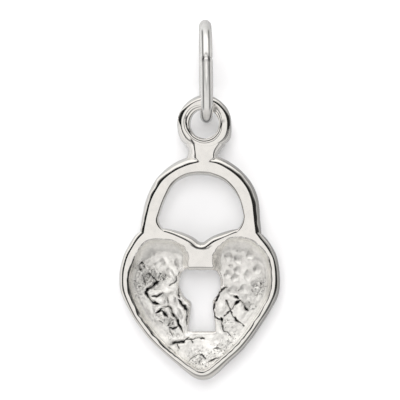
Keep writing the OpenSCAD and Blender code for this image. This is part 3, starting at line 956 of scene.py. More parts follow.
def grain(x, z, name):
    """Smooth noise between about -1 and 1, of the pitch and layer that NOISES gives."""
    pitch, layer = NOISES[name]
    flat_x, flat_z = np.ravel(x) * pitch, np.ravel(z) * pitch
    value = [noise.noise(Vector((a, b, layer * LAYER_STEP))) for a, b in zip(flat_x, flat_z)]
    return np.reshape(np.array(value), np.shape(x)) * NOISE_GAIN


def wander(x, z):
    """Moves points a little to and fro, so that what is drawn on them comes out uneven."""
    return (
        x + WANDER * grain(x, z, "wander x") + FINE_WANDER * grain(x, z, "fine wander x"),
        z + WANDER * grain(x, z, "wander z") + FINE_WANDER * grain(x, z, "fine wander z"),
    )


def rough_patches(x, z):
    """How coarse the cast floor is."""
    share = np.zeros_like(x)
    for at_x, at_z, radius, strength in ROUGH:
        far = np.hypot(x - at_x, z - at_z) / radius
        share = np.maximum(share, strength * (1 - ease(far - ROUGH_CORE)))
    return share


class HeartShape:
    """The heart's outlines, its pan and its puffed back, as rows of points round its middle."""

    def __init__(self, parts, relief):
        rim = smooth(RIM, parts, closed=True)
        self.relief = relief
        self.edge = rim[:, 0:2]
        self.pan = rim[:, 2:4]
        self.reach = rim[:, 4]
        run = np.roll(self.edge, -1, axis=0) - np.roll(self.edge, 1, axis=0)
        run /= np.linalg.norm(run, axis=1)[:, None]
        self.outward = np.stack([run[:, 1], -run[:, 0]], 1)
        off = self.pan - MIDDLE
        turn = np.arctan2(off[:, 1], off[:, 0])
        self.key_table = keyhole_outline()
        self.key_far = np.interp(turn, *self.key_table)
        self.pan_far = np.hypot(off[:, 0], off[:, 1])
        self.way = off / self.pan_far[:, None]
        self.side = self.edge + self.outward * self.reach[:, None]
        self.side_far = np.interp(turn, *polar_table(self.side))
        up = np.sin(turn) ** 2
        self.lip = LIP_ENDS * up + np.where(np.cos(turn) > 0, LIP_RIGHT, LIP_LEFT) * (1 - up)
        pan_x, pan_z = self.pan.T
        self.wall = WALL + WALL_TOP * fade(pan_z, "high wall")
        # The edge of the pan is worn unevenly, and more so on the lower left
        ragged = RAGGED - RAGGED_LESS * fade(pan_z, "frosted tops")
        self.brink = FLAT_ROUND * (1 + ragged * grain(pan_x, pan_z, "pan edge"))
        self.brink *= 1 + WORN_WIDER * fade(pan_x, "worn brink to the left") * fade(pan_z, "worn brink")
        self.pan_table = polar_table(self.pan)

    def floor(self, x, z, inset):
        """Y of the pan's floor."""
        start = self.brink * worn(1.0, SOFT_TILT)
        deepest = PAN_DEPTH - start + PAN_SINK * ease(inset / PAN_SINK_OVER)
        depth = start + np.sqrt(1 - (1 - np.clip(inset / self.wall, 0, 1)) ** 2) * deepest
        inner = fade(inset, "relief from the pan's edge in")
        x, z = wander(x, z)
        crack, _, _ = cracks(x, z)
        rough = rough_patches(x, z)
        fine = np.zeros_like(x)
        for name, (plain, more) in SKIN.items():
            fine = fine + grain(x, z, name) * (plain + more * rough)
        swell = caps(x, z, BUMPS) - caps(x, z, DENTS) - PEBBLE_RISE * pebbles(x, z)
        crack = crack * fade(inset, "cracks from the pan's edge in")
        depth = depth - self.relief * (swell * inner - crack + fine * inner)
        return FACE + depth * (1 - bridge(x, z))

    def back(self, share):
        """Y of the puffed back, by the share of the way from the middle to the side."""
        return PUFF * np.sqrt(1 - np.clip(share, 0, 1) ** PUFF_POWER)

    def softness(self):
        """Share of the side that the rim's worn edge takes up."""
        x, z = self.edge.T
        soft = RIM_SOFT + RIM_SOFT_TOP * fade(z, "worn rim")
        soft -= RIM_CRISP_V * fade(np.abs(x), "crisp foot of the V from beside") * (z > V_FOOT_Z)
        soft += RIM_SOFT_LEFT * fade(x, "worn lower left from the middle") * fade(z, "worn lower left")
        return soft * (1 + RIM_UNEVEN * grain(x, z, "rim"))

    def sections(self, pan_rows, side_rows, back_rows):
        """Rings of points from the keyhole's front lip over the pan, rim and back to its back edge."""
        rings = []

        def add(flat, y):
            rings.append(points(flat[:, 0], y, flat[:, 1]))

        def at(far):
            return MIDDLE + self.way * np.reshape(far, (-1, 1))

        lip_far = self.key_far + self.lip
        lip_start = at(lip_far)
        lip_y = self.floor(lip_start[:, 0], lip_start[:, 1], self.pan_far - lip_far)
        drop = self.lip * LIP_DROP
        for c, s in quarter(LIP_ROWS)[:-1]:
            add(at(self.key_far + self.lip * (1 - c)), lip_y + drop * (1 - s))
        for share in np.linspace(1, 0, pan_rows) ** PAN_SPACING:
            inset = share * (self.pan_far - lip_far)
            p = at(self.pan_far - inset)
            add(p, self.floor(p[:, 0], p[:, 1], inset))
        sunk = 1 - bridge(self.pan[:, 0], self.pan[:, 1])
        for share in np.linspace(1, 0, LIP_ROWS)[1:]:
            edge_y = FACE + self.brink * worn(share, SOFT_TILT) * sunk
            add(at(self.pan_far + self.brink * (1 - share)), edge_y)
        rim_start = at(self.pan_far + self.brink)
        for share in RIM_ROWS:
            add(rim_start + share * (self.edge - rim_start), np.full(len(self.edge), FACE))
        sides = [side_profile(reach, soft, side_rows) for reach, soft in zip(self.reach, self.softness())]
        outs, deeps = (np.array([side[k] for side in sides]) for k in (0, 1))
        for k in range(1, outs.shape[1]):
            add(self.edge + self.outward * outs[:, k:k + 1], FACE + deeps[:, k])
        end_far = self.key_far + BACK_ROUND
        side_share = end_far / self.side_far
        for step in np.linspace(0, 1, back_rows + 1)[1:]:
            share = math.cos(step * math.pi / 2) ** (2 / PUFF_POWER)
            far = side_share + share * (1 - side_share)
            # The rows swing from those of the side to those of the pan
            swing = float(fade(step, "swing of the back's rows"))
            outer = MIDDLE + far[:, None] * (self.side - MIDDLE)
            add(outer + swing * (at(far * self.side_far) - outer), self.back(far))
        end_y = self.back(side_share)
        for c, s in quarter(BACK_LIP_ROWS)[1:]:
            add(at(self.key_far + BACK_ROUND * (1 - s)), end_y - BACK_ROUND * (1 - c))
        wall_back, wall_front = end_y - BACK_ROUND, lip_y + drop
        for share in HOLE_ROWS:
            add(at(self.key_far), wall_back + share * (wall_front - wall_back))
        return rings


def side_profile(reach, soft, steps, tilt=SOFT_TILT):
    """How far out and how deep a side runs from the flat face: worn softly round, then steeply down."""
    first = reach * soft
    share = np.linspace(0, 1, steps + 1)
    soft_deep = first * worn(share, tilt)
    left = -FACE - soft_deep[-1]
    q = math.tan(math.radians(tilt)) * (reach - first) / left
    start = math.asin(min(q / (1 - q), STEEPEST))
    turn = np.linspace(start, math.pi / 2, 2 * steps + 1)[1:]
    wide = (reach - first) / (1 - math.sin(start))
    tall = left / math.cos(start)
    out = np.concatenate([first * share, reach - wide * (1 - np.sin(turn))])
    return out, np.concatenate([soft_deep, -FACE - tall * np.cos(turn)])


def worn(share, tilt):
    """Depth, for a width of one, of an edge whose tilt grows evenly from where the flat ends."""
    start, end = math.radians(EDGE_TILT), math.radians(tilt)
    return (math.log(math.cos(start)) - np.log(np.cos(start + (end - start) * share))) / (end - start)


def bar_section(start, end, reach_a, reach_b, back, steps, soft, set_back=0.0):
    """Outline of a bar with a flat face from start to end, bulging sides and a round back."""
    start, end = np.array(start), np.array(end)
    wide = away(end, start)
    run = (end - start) / wide
    span, centre = (wide + reach_a + reach_b) / 2, (wide + reach_b - reach_a) / 2
    # Sides that face up are less worn than those that face left and right
    out_a, deep_a = side_profile(reach_a, soft - BAR_TOP_LESS * soft * run[1] ** 2, steps, BAR_TILT)
    out_b, deep_b = side_profile(reach_b, BAR_INNER * soft, steps, BAR_TILT)
    round_back = np.radians(np.linspace(180, 0, 4 * steps + 1))[1:-1]
    flat = [wide - FLAT_HOLD, FLAT_HOLD]
    across = np.concatenate([-out_a, centre + span * np.cos(round_back), wide + out_b[::-1], flat])
    deep = np.concatenate([FACE + deep_a, back * np.sin(round_back), FACE + deep_b[::-1], [FACE] * 2])
    return points(start[0] + run[0] * across, deep + set_back, start[1] + run[1] * across)


def uneven(soft, x, z):
    """A softness of an edge that differs from place to place, as handling leaves it."""
    return min(BAR_SOFT_MOST, soft * (1 + BAR_UNEVEN * float(grain(x, z, "bar"))))


def shackle_sections(parts, steps):
    """Sections of the shackle from its left foot to its right one."""
    return [
        bar_section(
            row[0:2], row[2:4], row[4], row[5], SHACKLE_BACK - row[6], steps,
            uneven(SHACKLE_SOFT, row[0], row[1]),
        )
        for row in smooth(SHACKLE, parts)
    ]


def neck_sections(parts, steps):
    """Sections of the neck from the eye down."""
    return [
        bar_section((left, z), (right, z), reach_a, reach_b, NECK_BACK, steps, NECK_SOFT, NECK_SET)
        for z, left, right, reach_a, reach_b in smooth(NECK, parts)
    ]


def mouth_profile(reach, steps):
    """How far in and how deep the eye's worn mouth runs: two small ledges, then the wall of the hole."""
    share = np.linspace(0, 1, 4 * steps + 1)
    tilt = np.interp(share, *zip(*MOUTH))
    step = np.tan(np.radians((tilt[1:] + tilt[:-1]) / 2)) / (4 * steps)
    ins = LEDGES * reach * share
    deep = LEDGES * reach * np.concatenate([[0], np.cumsum(step)])
    wall = np.linspace(0, 1, 4)[1:]
    return (
        np.concatenate([ins, ins[-1] + (reach - ins[-1]) * wall]),
        np.concatenate([deep, deep[-1] + (-FACE - deep[-1]) * wall]),
    )


def eye_sections(parts, steps):
    """Sections of the eye round its hole: the hole's widening mouth, the flat and the round outside."""
    rows = np.array(EYE, float)
    turns = np.append(rows[:, 0], 360)
    sizes = np.vstack([rows[:, 1:], rows[:1, 1:]])
    sections = []
    for turn in np.arange(0, 360, 360 / parts):
        start, end, out, soft = (soft_between(turn, turns, size) for size in sizes.T)
        c, s = math.cos(math.radians(turn)), math.sin(math.radians(turn))
        ins, mouth = mouth_profile(start - EYE_HOLE_R, steps)
        tilt = SOFT_TILT - EYE_TILT_LESS * c * c
        outs, sides = side_profile(out - end, uneven(soft, c, s), steps, tilt)
        far = np.concatenate([
            start - ins,
            start - ins[-2::-1],
            [start + FLAT_HOLD, end - FLAT_HOLD],
            end + outs,
            end + outs[-2::-1],
        ])
        deep = np.concatenate([
            -FACE - mouth, FACE + mouth[-2::-1], [FACE] * 2, FACE + sides, -FACE - sides[-2::-1],
        ])
        sections.append(points(EYE_AT[0] + far * c, deep, EYE_AT[1] + far * s))
    return sections


def soft_between(turn, turns, values):
    """A value that eases from one station to the next round a circle."""
    k = int(np.searchsorted(turns, turn, side="right")) - 1
    share = (turn - turns[k]) / (turns[k + 1] - turns[k])
    return values[k] + (values[k + 1] - values[k]) * float(ease(share))


def ring_sections(wire):
    """Sections along the jump ring's wire, from one butted end round to the other."""
    radius = RING_OUTER / 2 - wire / 2
    centre_z = wire - RING_OUTER / 2
    turn_to = Matrix.Rotation(math.radians(RING_YAW), 4, "Z")
    turn_to = turn_to @ Matrix.Rotation(math.radians(-RING_LEAN), 4, "Y")
    start = math.asin(JOINT_RISE / radius) - JOINT_GAP / radius / 2
    sweep = math.tau - JOINT_GAP / radius
    around = np.linspace(0, math.tau, WIRE_SIDES, endpoint=False)
    stations = WIRE_END + [(s, 1) for s in np.linspace(WIRE_FULL, 1 - WIRE_FULL, RING_PARTS)]
    stations += [(1 - s, full) for s, full in WIRE_END[::-1]]
    sections = []
    for share, full in stations:
        # The joint is on the near side, so the wire starts there and runs down and round
        turn = start - share * sweep
        out_y, out_z = -math.cos(turn), math.sin(turn)
        size = wire / 2 * full
        stray = STRAY * max(0.0, 1 - share * sweep * radius / STRAY_LONG) ** 2
        rows = []
        for a in around:
            far = radius + stray + size * math.cos(a)
            rows.append(turn_to @ Vector((size * math.sin(a), far * out_y, centre_z + far * out_z)))
        sections.append(np.array(rows) * MM)
    return sections


def painted_side_highlights(x, y, z):
    """How much painted highlight the neck's sides and the lower right edge get, standing in for light from
    all round.
    """
    side = (y > FACE + SIDE_DEEP) & (np.hypot(x - EYE_AT[0], z - EYE_AT[1]) > EYE_MOUTH_R)
    top = np.where(x > 0, fade(z, "neck side right"), fade(z, "neck side left"))
    neck = GLEAM["neck"] * side * top * fade(z, "neck side foot")
    low = GLEAM["low side"] * fade(y, "low side in depth") * fade(z, "low side")
    low = low * (x > 0) * (y < LOW_SIDE_BACK)
    return np.maximum(neck, low)


def painted_black_brink(x, y, z, inset):
    """A broken black line of painted dark reflection where the rim drops to the pan, on the lower left and
    faintly on the right.
    """
    line = stroke(np.abs(inset + BRINK_OUT), BRINK_HALF, 1.3) * (y < 0)
    left = band(z, "black brink left") * (x < BRINK_LEFT_X)
    right = band(z, "black brink right") * (x > BRINK_RIGHT_X)
    broken = fade(grain(x, z, "black brink"), "broken black brink")
    return line * (left + BRINK_RIGHT * right) * broken


def painted_edge_shadows(x, y, z):
    """How dark the painted shadows in the eye's mouth, beside the neck and at the V's foot are."""
    dark = np.zeros_like(x)
    broken = np.clip(1.0 + EDGE_SHADOW_UNEVEN * grain(x, z, "painted edge shadows"), EDGE_SHADOW_LEAST, 1)
    for half, strength, rows in PAINTED_EDGE_SHADOWS:
        near, end = near_line(x, z, rows)
        mark = stroke(near, half, 1.6) * np.clip(EDGE_SHADOW_TIP + end / EDGE_SHADOW_TAPER, 0, 1)
        dark = np.maximum(dark, strength * broken * mark * (y < 0))
    return dark


def casting_masks(x, y, z, heart):
    """Masks of the casting: how frosted it is as cast, how dark with painted shade and darker stretches,
    how coarse, how bright with painted highlights.
    """
    off_x, off_z = x - MIDDLE[0], z - MIDDLE[1]
    turn, far = np.arctan2(off_z, off_x), np.hypot(off_x, off_z)
    inset = np.interp(turn, *heart.pan_table) - far
    clear = far - np.interp(turn, *heart.key_table)
    inside = (y < FRONT_Y) & (inset > 0)
    open_floor = 1 - bridge(x, z)
    # The tops of the lobes are frosted right up to the flat, the rest is polished over the edge
    start = FROST_START - FROST_SPREAD * fade(z, "frosted tops")
    cast = ease((inset - start) / FROST_SOFT) * open_floor * fade(clear, "frost from the keyhole out")
    cast = np.where((y < FRONT_Y) & (y > FACE + FLAT_DEEP), cast, 0)
    spot = wander(x, z)
    _, black, lip = cracks(*spot)
    bright, dull = painted_dent_halves(*spot)
    # Painted highlights on the crack lips, the lower parts of dents, the bumps, the bottom and the streaks
    gleam = np.max([
        GLEAM["lip"] * lip,
        bright,
        GLEAM["bump"] * fade(caps(*spot, BUMPS), "gleaming bump by its height"),
        GLEAM["bottom"] * fade(z, "gleaming bottom") * (1 + GLEAM_UNEVEN * grain(x, z, "bottom")),
        GLEAM["streak"] * np.sqrt(caps(*spot, PAINTED_HIGHLIGHT_STREAKS)),
    ], axis=0)
    gleam = np.where(inside, gleam * fade(inset, "gleam from the pan's edge in") * open_floor, 0)
    # Painted shade in the cracks, on the upper parts of dents and in the seams between pebbles, with the
    # darker stretches
    dark = np.max([black, caps(*spot, DARKER_STRETCHES), DENT_PAINTED_SHADE * dull, pebbles(*spot)], axis=0)
    dark = np.where(inside, dark * fade(inset, "dark from the pan's edge in") * open_floor, 0)
    return {
        "cast": cast,
        # The painted black brink and the painted edge shadows join the painted shade
        "cavity": np.max([dark, painted_black_brink(x, y, z, inset), painted_edge_shadows(x, y, z)], axis=0),
        "grain": np.where(inside, rough_patches(*spot), 0),
        "gleam": np.maximum(gleam, painted_side_highlights(x, y, z)),
    }


def wire_shade(y, z, facing, turn):
    """Painted shade of the wire: painted dark reflections along its outer face, greyer below its joint,
    dark at its joint and round the ring's bottom.
    """
    side, outer = np.sin(turn), np.cos(turn) > 0
    shade = np.ones_like(z)
    for place, half, depth in WIRE_PAINTED_LINES:
        shade -= depth * stroke(np.abs(side - place), half, 1.15)
    painted_lines_on = outer * band(z, "painted wire lines")
    shade = painted_lines_on * shade + (1 - painted_lines_on) * WIRE_PLAIN
    shade *= 1 - WIRE_BELOW * outer * fade(z, "wire below joint")
    # The ends at the joint are pinched and dark on both sides
    pinch = outer * (y < 0) * stroke(np.abs(z - JOINT_Z), PINCH_TALL, 1.4)
    shade *= 1 - PINCH_DARK * pinch * stroke(np.abs(np.abs(side + PINCH_OFF) - PINCH_AT), PINCH_HALF, 1.3)
    # Painted reflection of the eye round it: the bottom of the ring is dark round a bright spot
    rim = stroke(np.abs(facing - BOTTOM_FACING - BOTTOM_BOWED * side**2), BOTTOM_HALF, 1.3)
    return shade * (1 - BOTTOM_DARK * fade(z, "ring bottom") * rim)


def vertex_rows(mesh, what):
    """Three numbers for each vertex, as three rows: its place or its normal."""
    flat = np.empty(len(mesh.vertices) * 3, np.float32)
    mesh.vertices.foreach_get(what, flat)
    return flat.reshape(-1, 3).T.astype(float)


def write_values(mesh, name, values):
    """Stores a number for each vertex, which a material reads by its name."""
    mesh.attributes.new(name, "FLOAT", "POINT").data.foreach_set("value", values.astype(np.float32))


def write_masks(piece, heart):
    """Stores the casting's masks at its vertices."""
    masks = casting_masks(*vertex_rows(piece.data, "co") / MM, heart)
    for name, values in masks.items():
        write_values(piece.data, name, values)


def write_shade(piece):
    """Stores the wire's painted shade at its vertices."""
    mesh = piece.data
    column = np.empty(len(mesh.vertices), np.int32)
    mesh.attributes["column"].data.foreach_get("value", column)
    _, y, z = vertex_rows(mesh, "co") / MM
    facing = -vertex_rows(mesh, "normal")[1]
    write_values(mesh, "shade", wire_shade(y, z, facing, column * math.tau / WIRE_SIDES))


def fill(tree, socket, value):
    """Links a socket to another node's output, or sets it to a constant."""
    if isinstance(value, bpy.types.NodeSocket):
        tree.links.new(value, socket)
    else:
        socket.default_value = value


def node(tree, kind, *sources, **values):
    """Adds a shader node. Its first sockets take the sources, named values set properties and sockets."""
    made = tree.nodes.new(kind)
    for key, value in values.items():
        if key in made.inputs:
            fill(tree, made.inputs[key], value)
        else:
            setattr(made, key, value)
    for socket, value in zip(made.inputs, sources):
        fill(tree, socket, value)
    return made


def calc(tree, operation, *sources, clamp=False):
    """Output of a math node."""
    return node(tree, "ShaderNodeMath", *sources, operation=operation, use_clamp=clamp).outputs[0]


def mixed(tree, kind, factor, a, b):
    """Output of a node that mixes two colours."""
    made = node(tree, "ShaderNodeMix", data_type="RGBA", blend_type=kind, Factor=factor, A=a, B=b)
    return made.outputs["Result"]


def remap(tree, value, start, end, low, high):
    """Output that eases from low to high while the value runs from start to end."""
    made = node(tree, "ShaderNodeMapRange", interpolation_type="SMOOTHSTEP", Value=value)
    for label, number in (("From Min", start), ("From Max", end), ("To Min", low), ("To Max", high)):
        made.inputs[label].default_value = number
    return made.outputs["Result"]


def cloud(tree, place, scale, detail, rough):
    """Output of a noise, with its scale in bumps to the metre."""
    made = node(
        tree, "ShaderNodeTexNoise", Vector=place, Scale=scale, Detail=detail, Roughness=rough
    )
    return made.outputs["Fac"]


def ramp(tree, value, stops, tone=(1, 1, 1), ease_between=False):
    """Output of a colour ramp with shades of one tone at the given places."""
    made = node(tree, "ShaderNodeValToRGB", Fac=value)
    made.color_ramp.interpolation = "EASE" if ease_between else "LINEAR"
    while len(made.color_ramp.elements) < len(stops):
        made.color_ramp.elements.new(0.5)
    for stop, (place, _) in zip(made.color_ramp.elements, stops):
        stop.position = place
    for stop, (_, level) in zip(made.color_ramp.elements, stops):
        stop.color = (*(level * part for part in tone), 1)
    return made.outputs["Color"]


def silver_wear_and_painted_light():
    """Shared effect: base colour, roughness, metal and relief height of handled, partly frosted silver,
    with painted shade and painted highlights from its masks.
    """
    name = "Silver Wear and Painted Light"
    if name in bpy.data.node_groups:
        return bpy.data.node_groups[name]
    tree = bpy.data.node_groups.new(name, "ShaderNodeTree")
    face = tree.interface
    face.new_socket("Color", in_out="INPUT", socket_type="NodeSocketColor")
    for label in ("Polish", *MASKS):
        face.new_socket(label, in_out="INPUT", socket_type="NodeSocketFloat")
    face.new_socket("Base Color", in_out="OUTPUT", socket_type="NodeSocketColor")
    for label in ("Roughness", "Metallic", "Height"):
        face.new_socket(label, in_out="OUTPUT", socket_type="NodeSocketFloat")
    given = tree.nodes.new("NodeGroupInput").outputs
    place = tree.nodes.new("ShaderNodeTexCoord").outputs["Object"]
    coarse, fine, mottled = (cloud(tree, place, *wish) for wish in (COARSE_WEAR, FINE_WEAR, MOTTLES))
    # Cast metal is rougher than polished metal, and the painted shade of the cracks and recesses sits on
    # rougher metal
    rough = calc(tree, "MULTIPLY_ADD", given["Cast"], CAST_ROUGH, given["Polish"])
    smeared = calc(tree, "MULTIPLY_ADD", coarse, SMEAR_ROUGH, rough)
    dulled = calc(tree, "MULTIPLY_ADD", given["Cavity"], CAVITY_ROUGH, smeared)
    # Handling leaves faint smudges, and the frosted skin is mottled
    smudges = ramp(tree, coarse, SMUDGES)
    handled = mixed(tree, "MULTIPLY", 1.0, given["Color"], smudges)
    blotches = ramp(tree, mottled, BLOTCHES, BLOTCH_TONE)
    frosted = mixed(tree, "MULTIPLY", given["Cast"], handled, blotches)
    # Small pits show as dark specks where the casting is coarse
    specks = calc(tree, "MULTIPLY", remap(tree, fine, *SPECKS), given["Grain"])
    # The painted shade of the Cavity mask darkens the colour, as the specks do
    dark = calc(tree, "MAXIMUM", specks, given["Cavity"])
    darkened = mixed(tree, "MIX", dark, frosted, PAINTED_SHADE_AND_SPECK_COLOR)
    # A frosted casting scatters light, which a part that is not metal stands for
    frost_metal = calc(tree, "MULTIPLY_ADD", given["Cast"], CAST_METAL, 1.0)
    # The Gleam mask takes metal away, so that the lamp lights a painted highlight there
    metal = calc(tree, "MULTIPLY_ADD", given["Gleam"], GLEAM_METAL, frost_metal, clamp=True)
    relief = calc(tree, "MULTIPLY_ADD", given["Cast"], CAST_RELIEF, PLAIN_RELIEF)
    height = calc(tree, "MULTIPLY", fine, relief)
    result = tree.nodes.new("NodeGroupOutput").inputs
    for label, out in (
        ("Base Color", darkened), ("Roughness", dulled), ("Metallic", metal), ("Height", height),
    ):
        tree.links.new(out, result[label])
    return tree


def silver(name, polish, relief):
    """Polished metal that the shared wear roughens, darkens with painted shade and brightens with painted
    highlights, and the node of that effect.
    """
    material = bpy.data.materials.new(name)
    material.use_nodes = True
    tree = material.node_tree
    shader = tree.nodes["Principled BSDF"]
    wear_and_light = node(tree, "ShaderNodeGroup", node_tree=silver_wear_and_painted_light(), Polish=polish)
    for label in ("Base Color", "Roughness", "Metallic"):
        tree.links.new(wear_and_light.outputs[label], shader.inputs[label])
    bump = node(
        tree, "ShaderNodeBump", Strength=relief, Distance=BUMP_STEP, Height=wear_and_light.outputs["Height"]
    )
    tree.links.new(bump.outputs["Normal"], shader.inputs["Normal"])
    return material, wear_and_light


def cast_silver():
    """Silver with the casting's masks, painted shade and painted highlights among them."""
    material, wear_and_light = silver("cast_silver", CAST_POLISH, 1.0)
    tree = material.node_tree
    wear_and_light.inputs["Color"].default_value = CAST_COLOR
    for label in MASKS:
        mask = node(tree, "ShaderNodeAttribute", attribute_name=label.lower())
        tree.links.new(mask.outputs["Fac"], wear_and_light.inputs[label])
    return material


def wire_silver():
    """Satin drawn wire with painted shade and painted dark reflections along its outer face."""
    material, wear_and_light = silver("wire_silver", WIRE_POLISH, WIRE_RELIEF)
    tree = material.node_tree
    shade = node(tree, "ShaderNodeAttribute", attribute_name="shade").outputs["Color"]
    shaded = mixed(tree, "MULTIPLY", 1.0, WIRE_COLOR, shade)
    tree.links.new(shaded, wear_and_light.inputs["Color"])
    wear_and_light.inputs["Cast"].default_value = WIRE_CAST
    wear_and_light.inputs["Gleam"].default_value = WIRE_GLEAM
    return material


def studio_white():
    """Matt white that is clear from its back, so that the object shows from behind too. In the metal's
    reflections it glows with a painted grey shade instead of its white.
    """
    material = bpy.data.materials.new("studio_white")
    material.use_nodes = True
    tree = material.node_tree
    shader = tree.nodes["Principled BSDF"]
    glossy = tree.nodes.new("ShaderNodeLightPath").outputs["Is Glossy Ray"]
    place = tree.nodes.new("ShaderNodeTexCoord").outputs["Object"]
    apart = node(tree, "ShaderNodeSeparateXYZ", place).outputs
    # Painted reflection: the metal sees the sheet glow in a painted grey, darker to the right, as a sheet
    # in the object's own shade would look, not as white
    left, right, left_shade, right_shade = SHEET_PAINTED_SHADE
    across = remap(tree, apart["X"], left * MM, right * MM, left_shade, right_shade)
    for label, value in (
        ("Base Color", mixed(tree, "MIX", glossy, SHEET_WHITE, BLACK)),
        ("Roughness", 1.0),
        ("Specular IOR Level", 0.0),
        ("Emission Color", mixed(tree, "MIX", glossy, BLACK, across)),
        ("Emission Strength", SHEET_PAINTED_GLOW),
    ):
        fill(tree, shader.inputs[label], value)
    # Below the object the sheet doesn't show in the metal, which sees the soft surroundings there
    unseen = calc(tree, "MULTIPLY", calc(tree, "LESS_THAN", apart["Z"], SHEET_SEEN_END * MM), glossy)
    behind = tree.nodes.new("ShaderNodeNewGeometry").outputs["Backfacing"]
    through = calc(tree, "MAXIMUM", behind, unseen)
    clear = tree.nodes.new("ShaderNodeBsdfTransparent").outputs["BSDF"]
    mix = node(tree, "ShaderNodeMixShader", through, shader.outputs["BSDF"], clear)
    tree.links.new(mix.outputs["Shader"], tree.nodes["Material Output"].inputs["Surface"])
    return material


def studio_world():
    """Soft studio surroundings: a light card ahead, dark bands beside it and white beyond."""
    world = bpy.data.worlds.new("studio_surroundings")
    world.use_nodes = True
    tree = world.node_tree
    tree.nodes.clear()
    way = tree.nodes.new("ShaderNodeTexCoord").outputs["Generated"]

    def along(axis):
        return node(tree, "ShaderNodeVectorMath", way, axis, operation="DOT_PRODUCT").outputs["Value"]

    ahead, beside, above = along(SEEN_AHEAD), along(SEEN_RIGHT), along(Vector((0, 0, 1)))
    ahead = calc(tree, "MINIMUM", calc(tree, "MAXIMUM", ahead, -1.0), 1.0)
    angle = calc(tree, "DIVIDE", calc(tree, "ARCCOSINE", ahead), math.pi)
    squares = [calc(tree, "MULTIPLY", axis, axis) for axis in (beside, above)]
    both = calc(tree, "MAXIMUM", calc(tree, "ADD", *squares), 1e-6)
    total = Vector((0, 0, 0))
    for label, axis, sign in (
        ("right", beside, 1.0), ("left", beside, -1.0), ("up", above, 1.0), ("down", above, -1.0),
    ):
        part = calc(tree, "MAXIMUM", calc(tree, "MULTIPLY", axis, sign), 0.0)
        share = calc(tree, "DIVIDE", calc(tree, "MULTIPLY", part, part), both)
        stops = [(degrees / 180, level) for degrees, level in SEEN[label]]
        seen = ramp(tree, angle, stops, WARM_GREY, ease_between=True)
        scaled = node(tree, "ShaderNodeVectorMath", seen, operation="SCALE", Scale=share)
        added = node(tree, "ShaderNodeVectorMath", total, scaled.outputs["Vector"], operation="ADD")
        total = added.outputs["Vector"]
    # The sheet gets most of its light from all round, so that the object's shade on it is soft and close
    diffuse = tree.nodes.new("ShaderNodeLightPath").outputs["Is Diffuse Ray"]
    strength = calc(tree, "MULTIPLY_ADD", diffuse, SHEET_LIGHT, 1.0)
    shade = node(tree, "ShaderNodeBackground", Color=total, Strength=strength)
    out = tree.nodes.new("ShaderNodeOutputWorld")
    tree.links.new(shade.outputs["Background"], out.inputs["Surface"])
    return world


def sheet_profile(gap):
    """Y and z down the sheet: back behind the ring, near behind the heart, then round to the floor."""
    profile = [(gap + SHEET_STEP, SHEET_HALF)]
    for share in np.linspace(0, 1, SHEET_ROWS):
        near = float(ease(share))
        profile.append((gap + SHEET_STEP * (1 - near), SHEET_STEP_Z - SHEET_STEP_TALL * share))
    profile.append((gap, FLOOR_Z + COVE))
    profile += [(gap - COVE * (1 - c), FLOOR_Z + COVE * (1 - s)) for c, s in quarter(COVE_ROWS)[1:]]
    profile.append((gap - SHEET_HALF, FLOOR_Z))
    return profile


class PendantSettings(bpy.types.PropertyGroup):
    """What can be set before the pendant is built"""

    rim_parts: bpy.props.IntProperty(
        name="Rim parts", description="Columns of points between two stations of the rim",
        default=16, min=4, max=20,
    )
    pan_rows: bpy.props.IntProperty(
        name="Pan rows", description="Rows of points from the keyhole to the rim",
        default=72, min=16, max=100,
    )
    relief: bpy.props.FloatProperty(
        name="Relief", description="Strength of the cast relief in the pan",
        default=1.0, min=0.0, max=1.5, subtype="FACTOR",
    )
    wire: bpy.props.FloatProperty(
        name="Wire", description="Diameter of the jump ring's wire",
        default=0.74 * MM, min=0.6 * MM, max=0.8 * MM, unit="LENGTH", precision=5,
    )
    backdrop_gap: bpy.props.FloatProperty(
        name="Backdrop", description="Distance of the white backdrop behind the pendant's middle",
        default=1.35 * MM, min=1.3 * MM, max=30 * MM, unit="LENGTH", precision=5,
    )
    light: bpy.props.FloatProperty(
        name="Light", description="Strength of the soft light on the backdrop",
        default=1.0, min=0.0, max=5.0, subtype="FACTOR",
    )


class PENDANT_OT_casting(bpy.types.Operator):
    """Build the one-piece casting: heart, shackle, neck and eye"""

    bl_idname = "pendant.casting"
    bl_label = "Cast Heart Lock"

    def execute(self, context):
        wish = context.scene.pendant
        heart = HeartShape(wish.rim_parts, wish.relief)
        rings = heart.sections(wish.pan_rows, side_rows=5, back_rows=20)
        casting = loft("heart_lock_casting", rings, closed=True)
        others = [
            loft("shackle", shackle_sections(parts=8, steps=6)),
            loft("neck", neck_sections(parts=6, steps=6)),
            loft("eye", eye_sections(parts=120, steps=6), closed=True),
        ]
        unite(casting, others)
        if not casting.data.polygons:
            raise RuntimeError("the casting came out empty")
        shade_smooth(casting, edge=35)
        write_masks(casting, heart)
        casting.data.materials.clear()
        casting.data.materials.append(cast_silver())
        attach(casting, LOCK_BODY)
        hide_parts("heart_lock")
        return {"FINISHED"}


class PENDANT_OT_jump_ring(bpy.types.Operator):
    """Build the jump ring of round wire with its butted ends"""

    bl_idname = "pendant.jump_ring"
    bl_label = "Jump Ring"

    def execute(self, context):
        ring = loft("wire_jump_ring", ring_sections(context.scene.pendant.wire / MM))
        shade_smooth(ring, edge=40)
        write_shade(ring)
        ring.data.materials.append(wire_silver())
        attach(ring, RING_BODY)
        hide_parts("jump_ring")
        return {"FINISHED"}


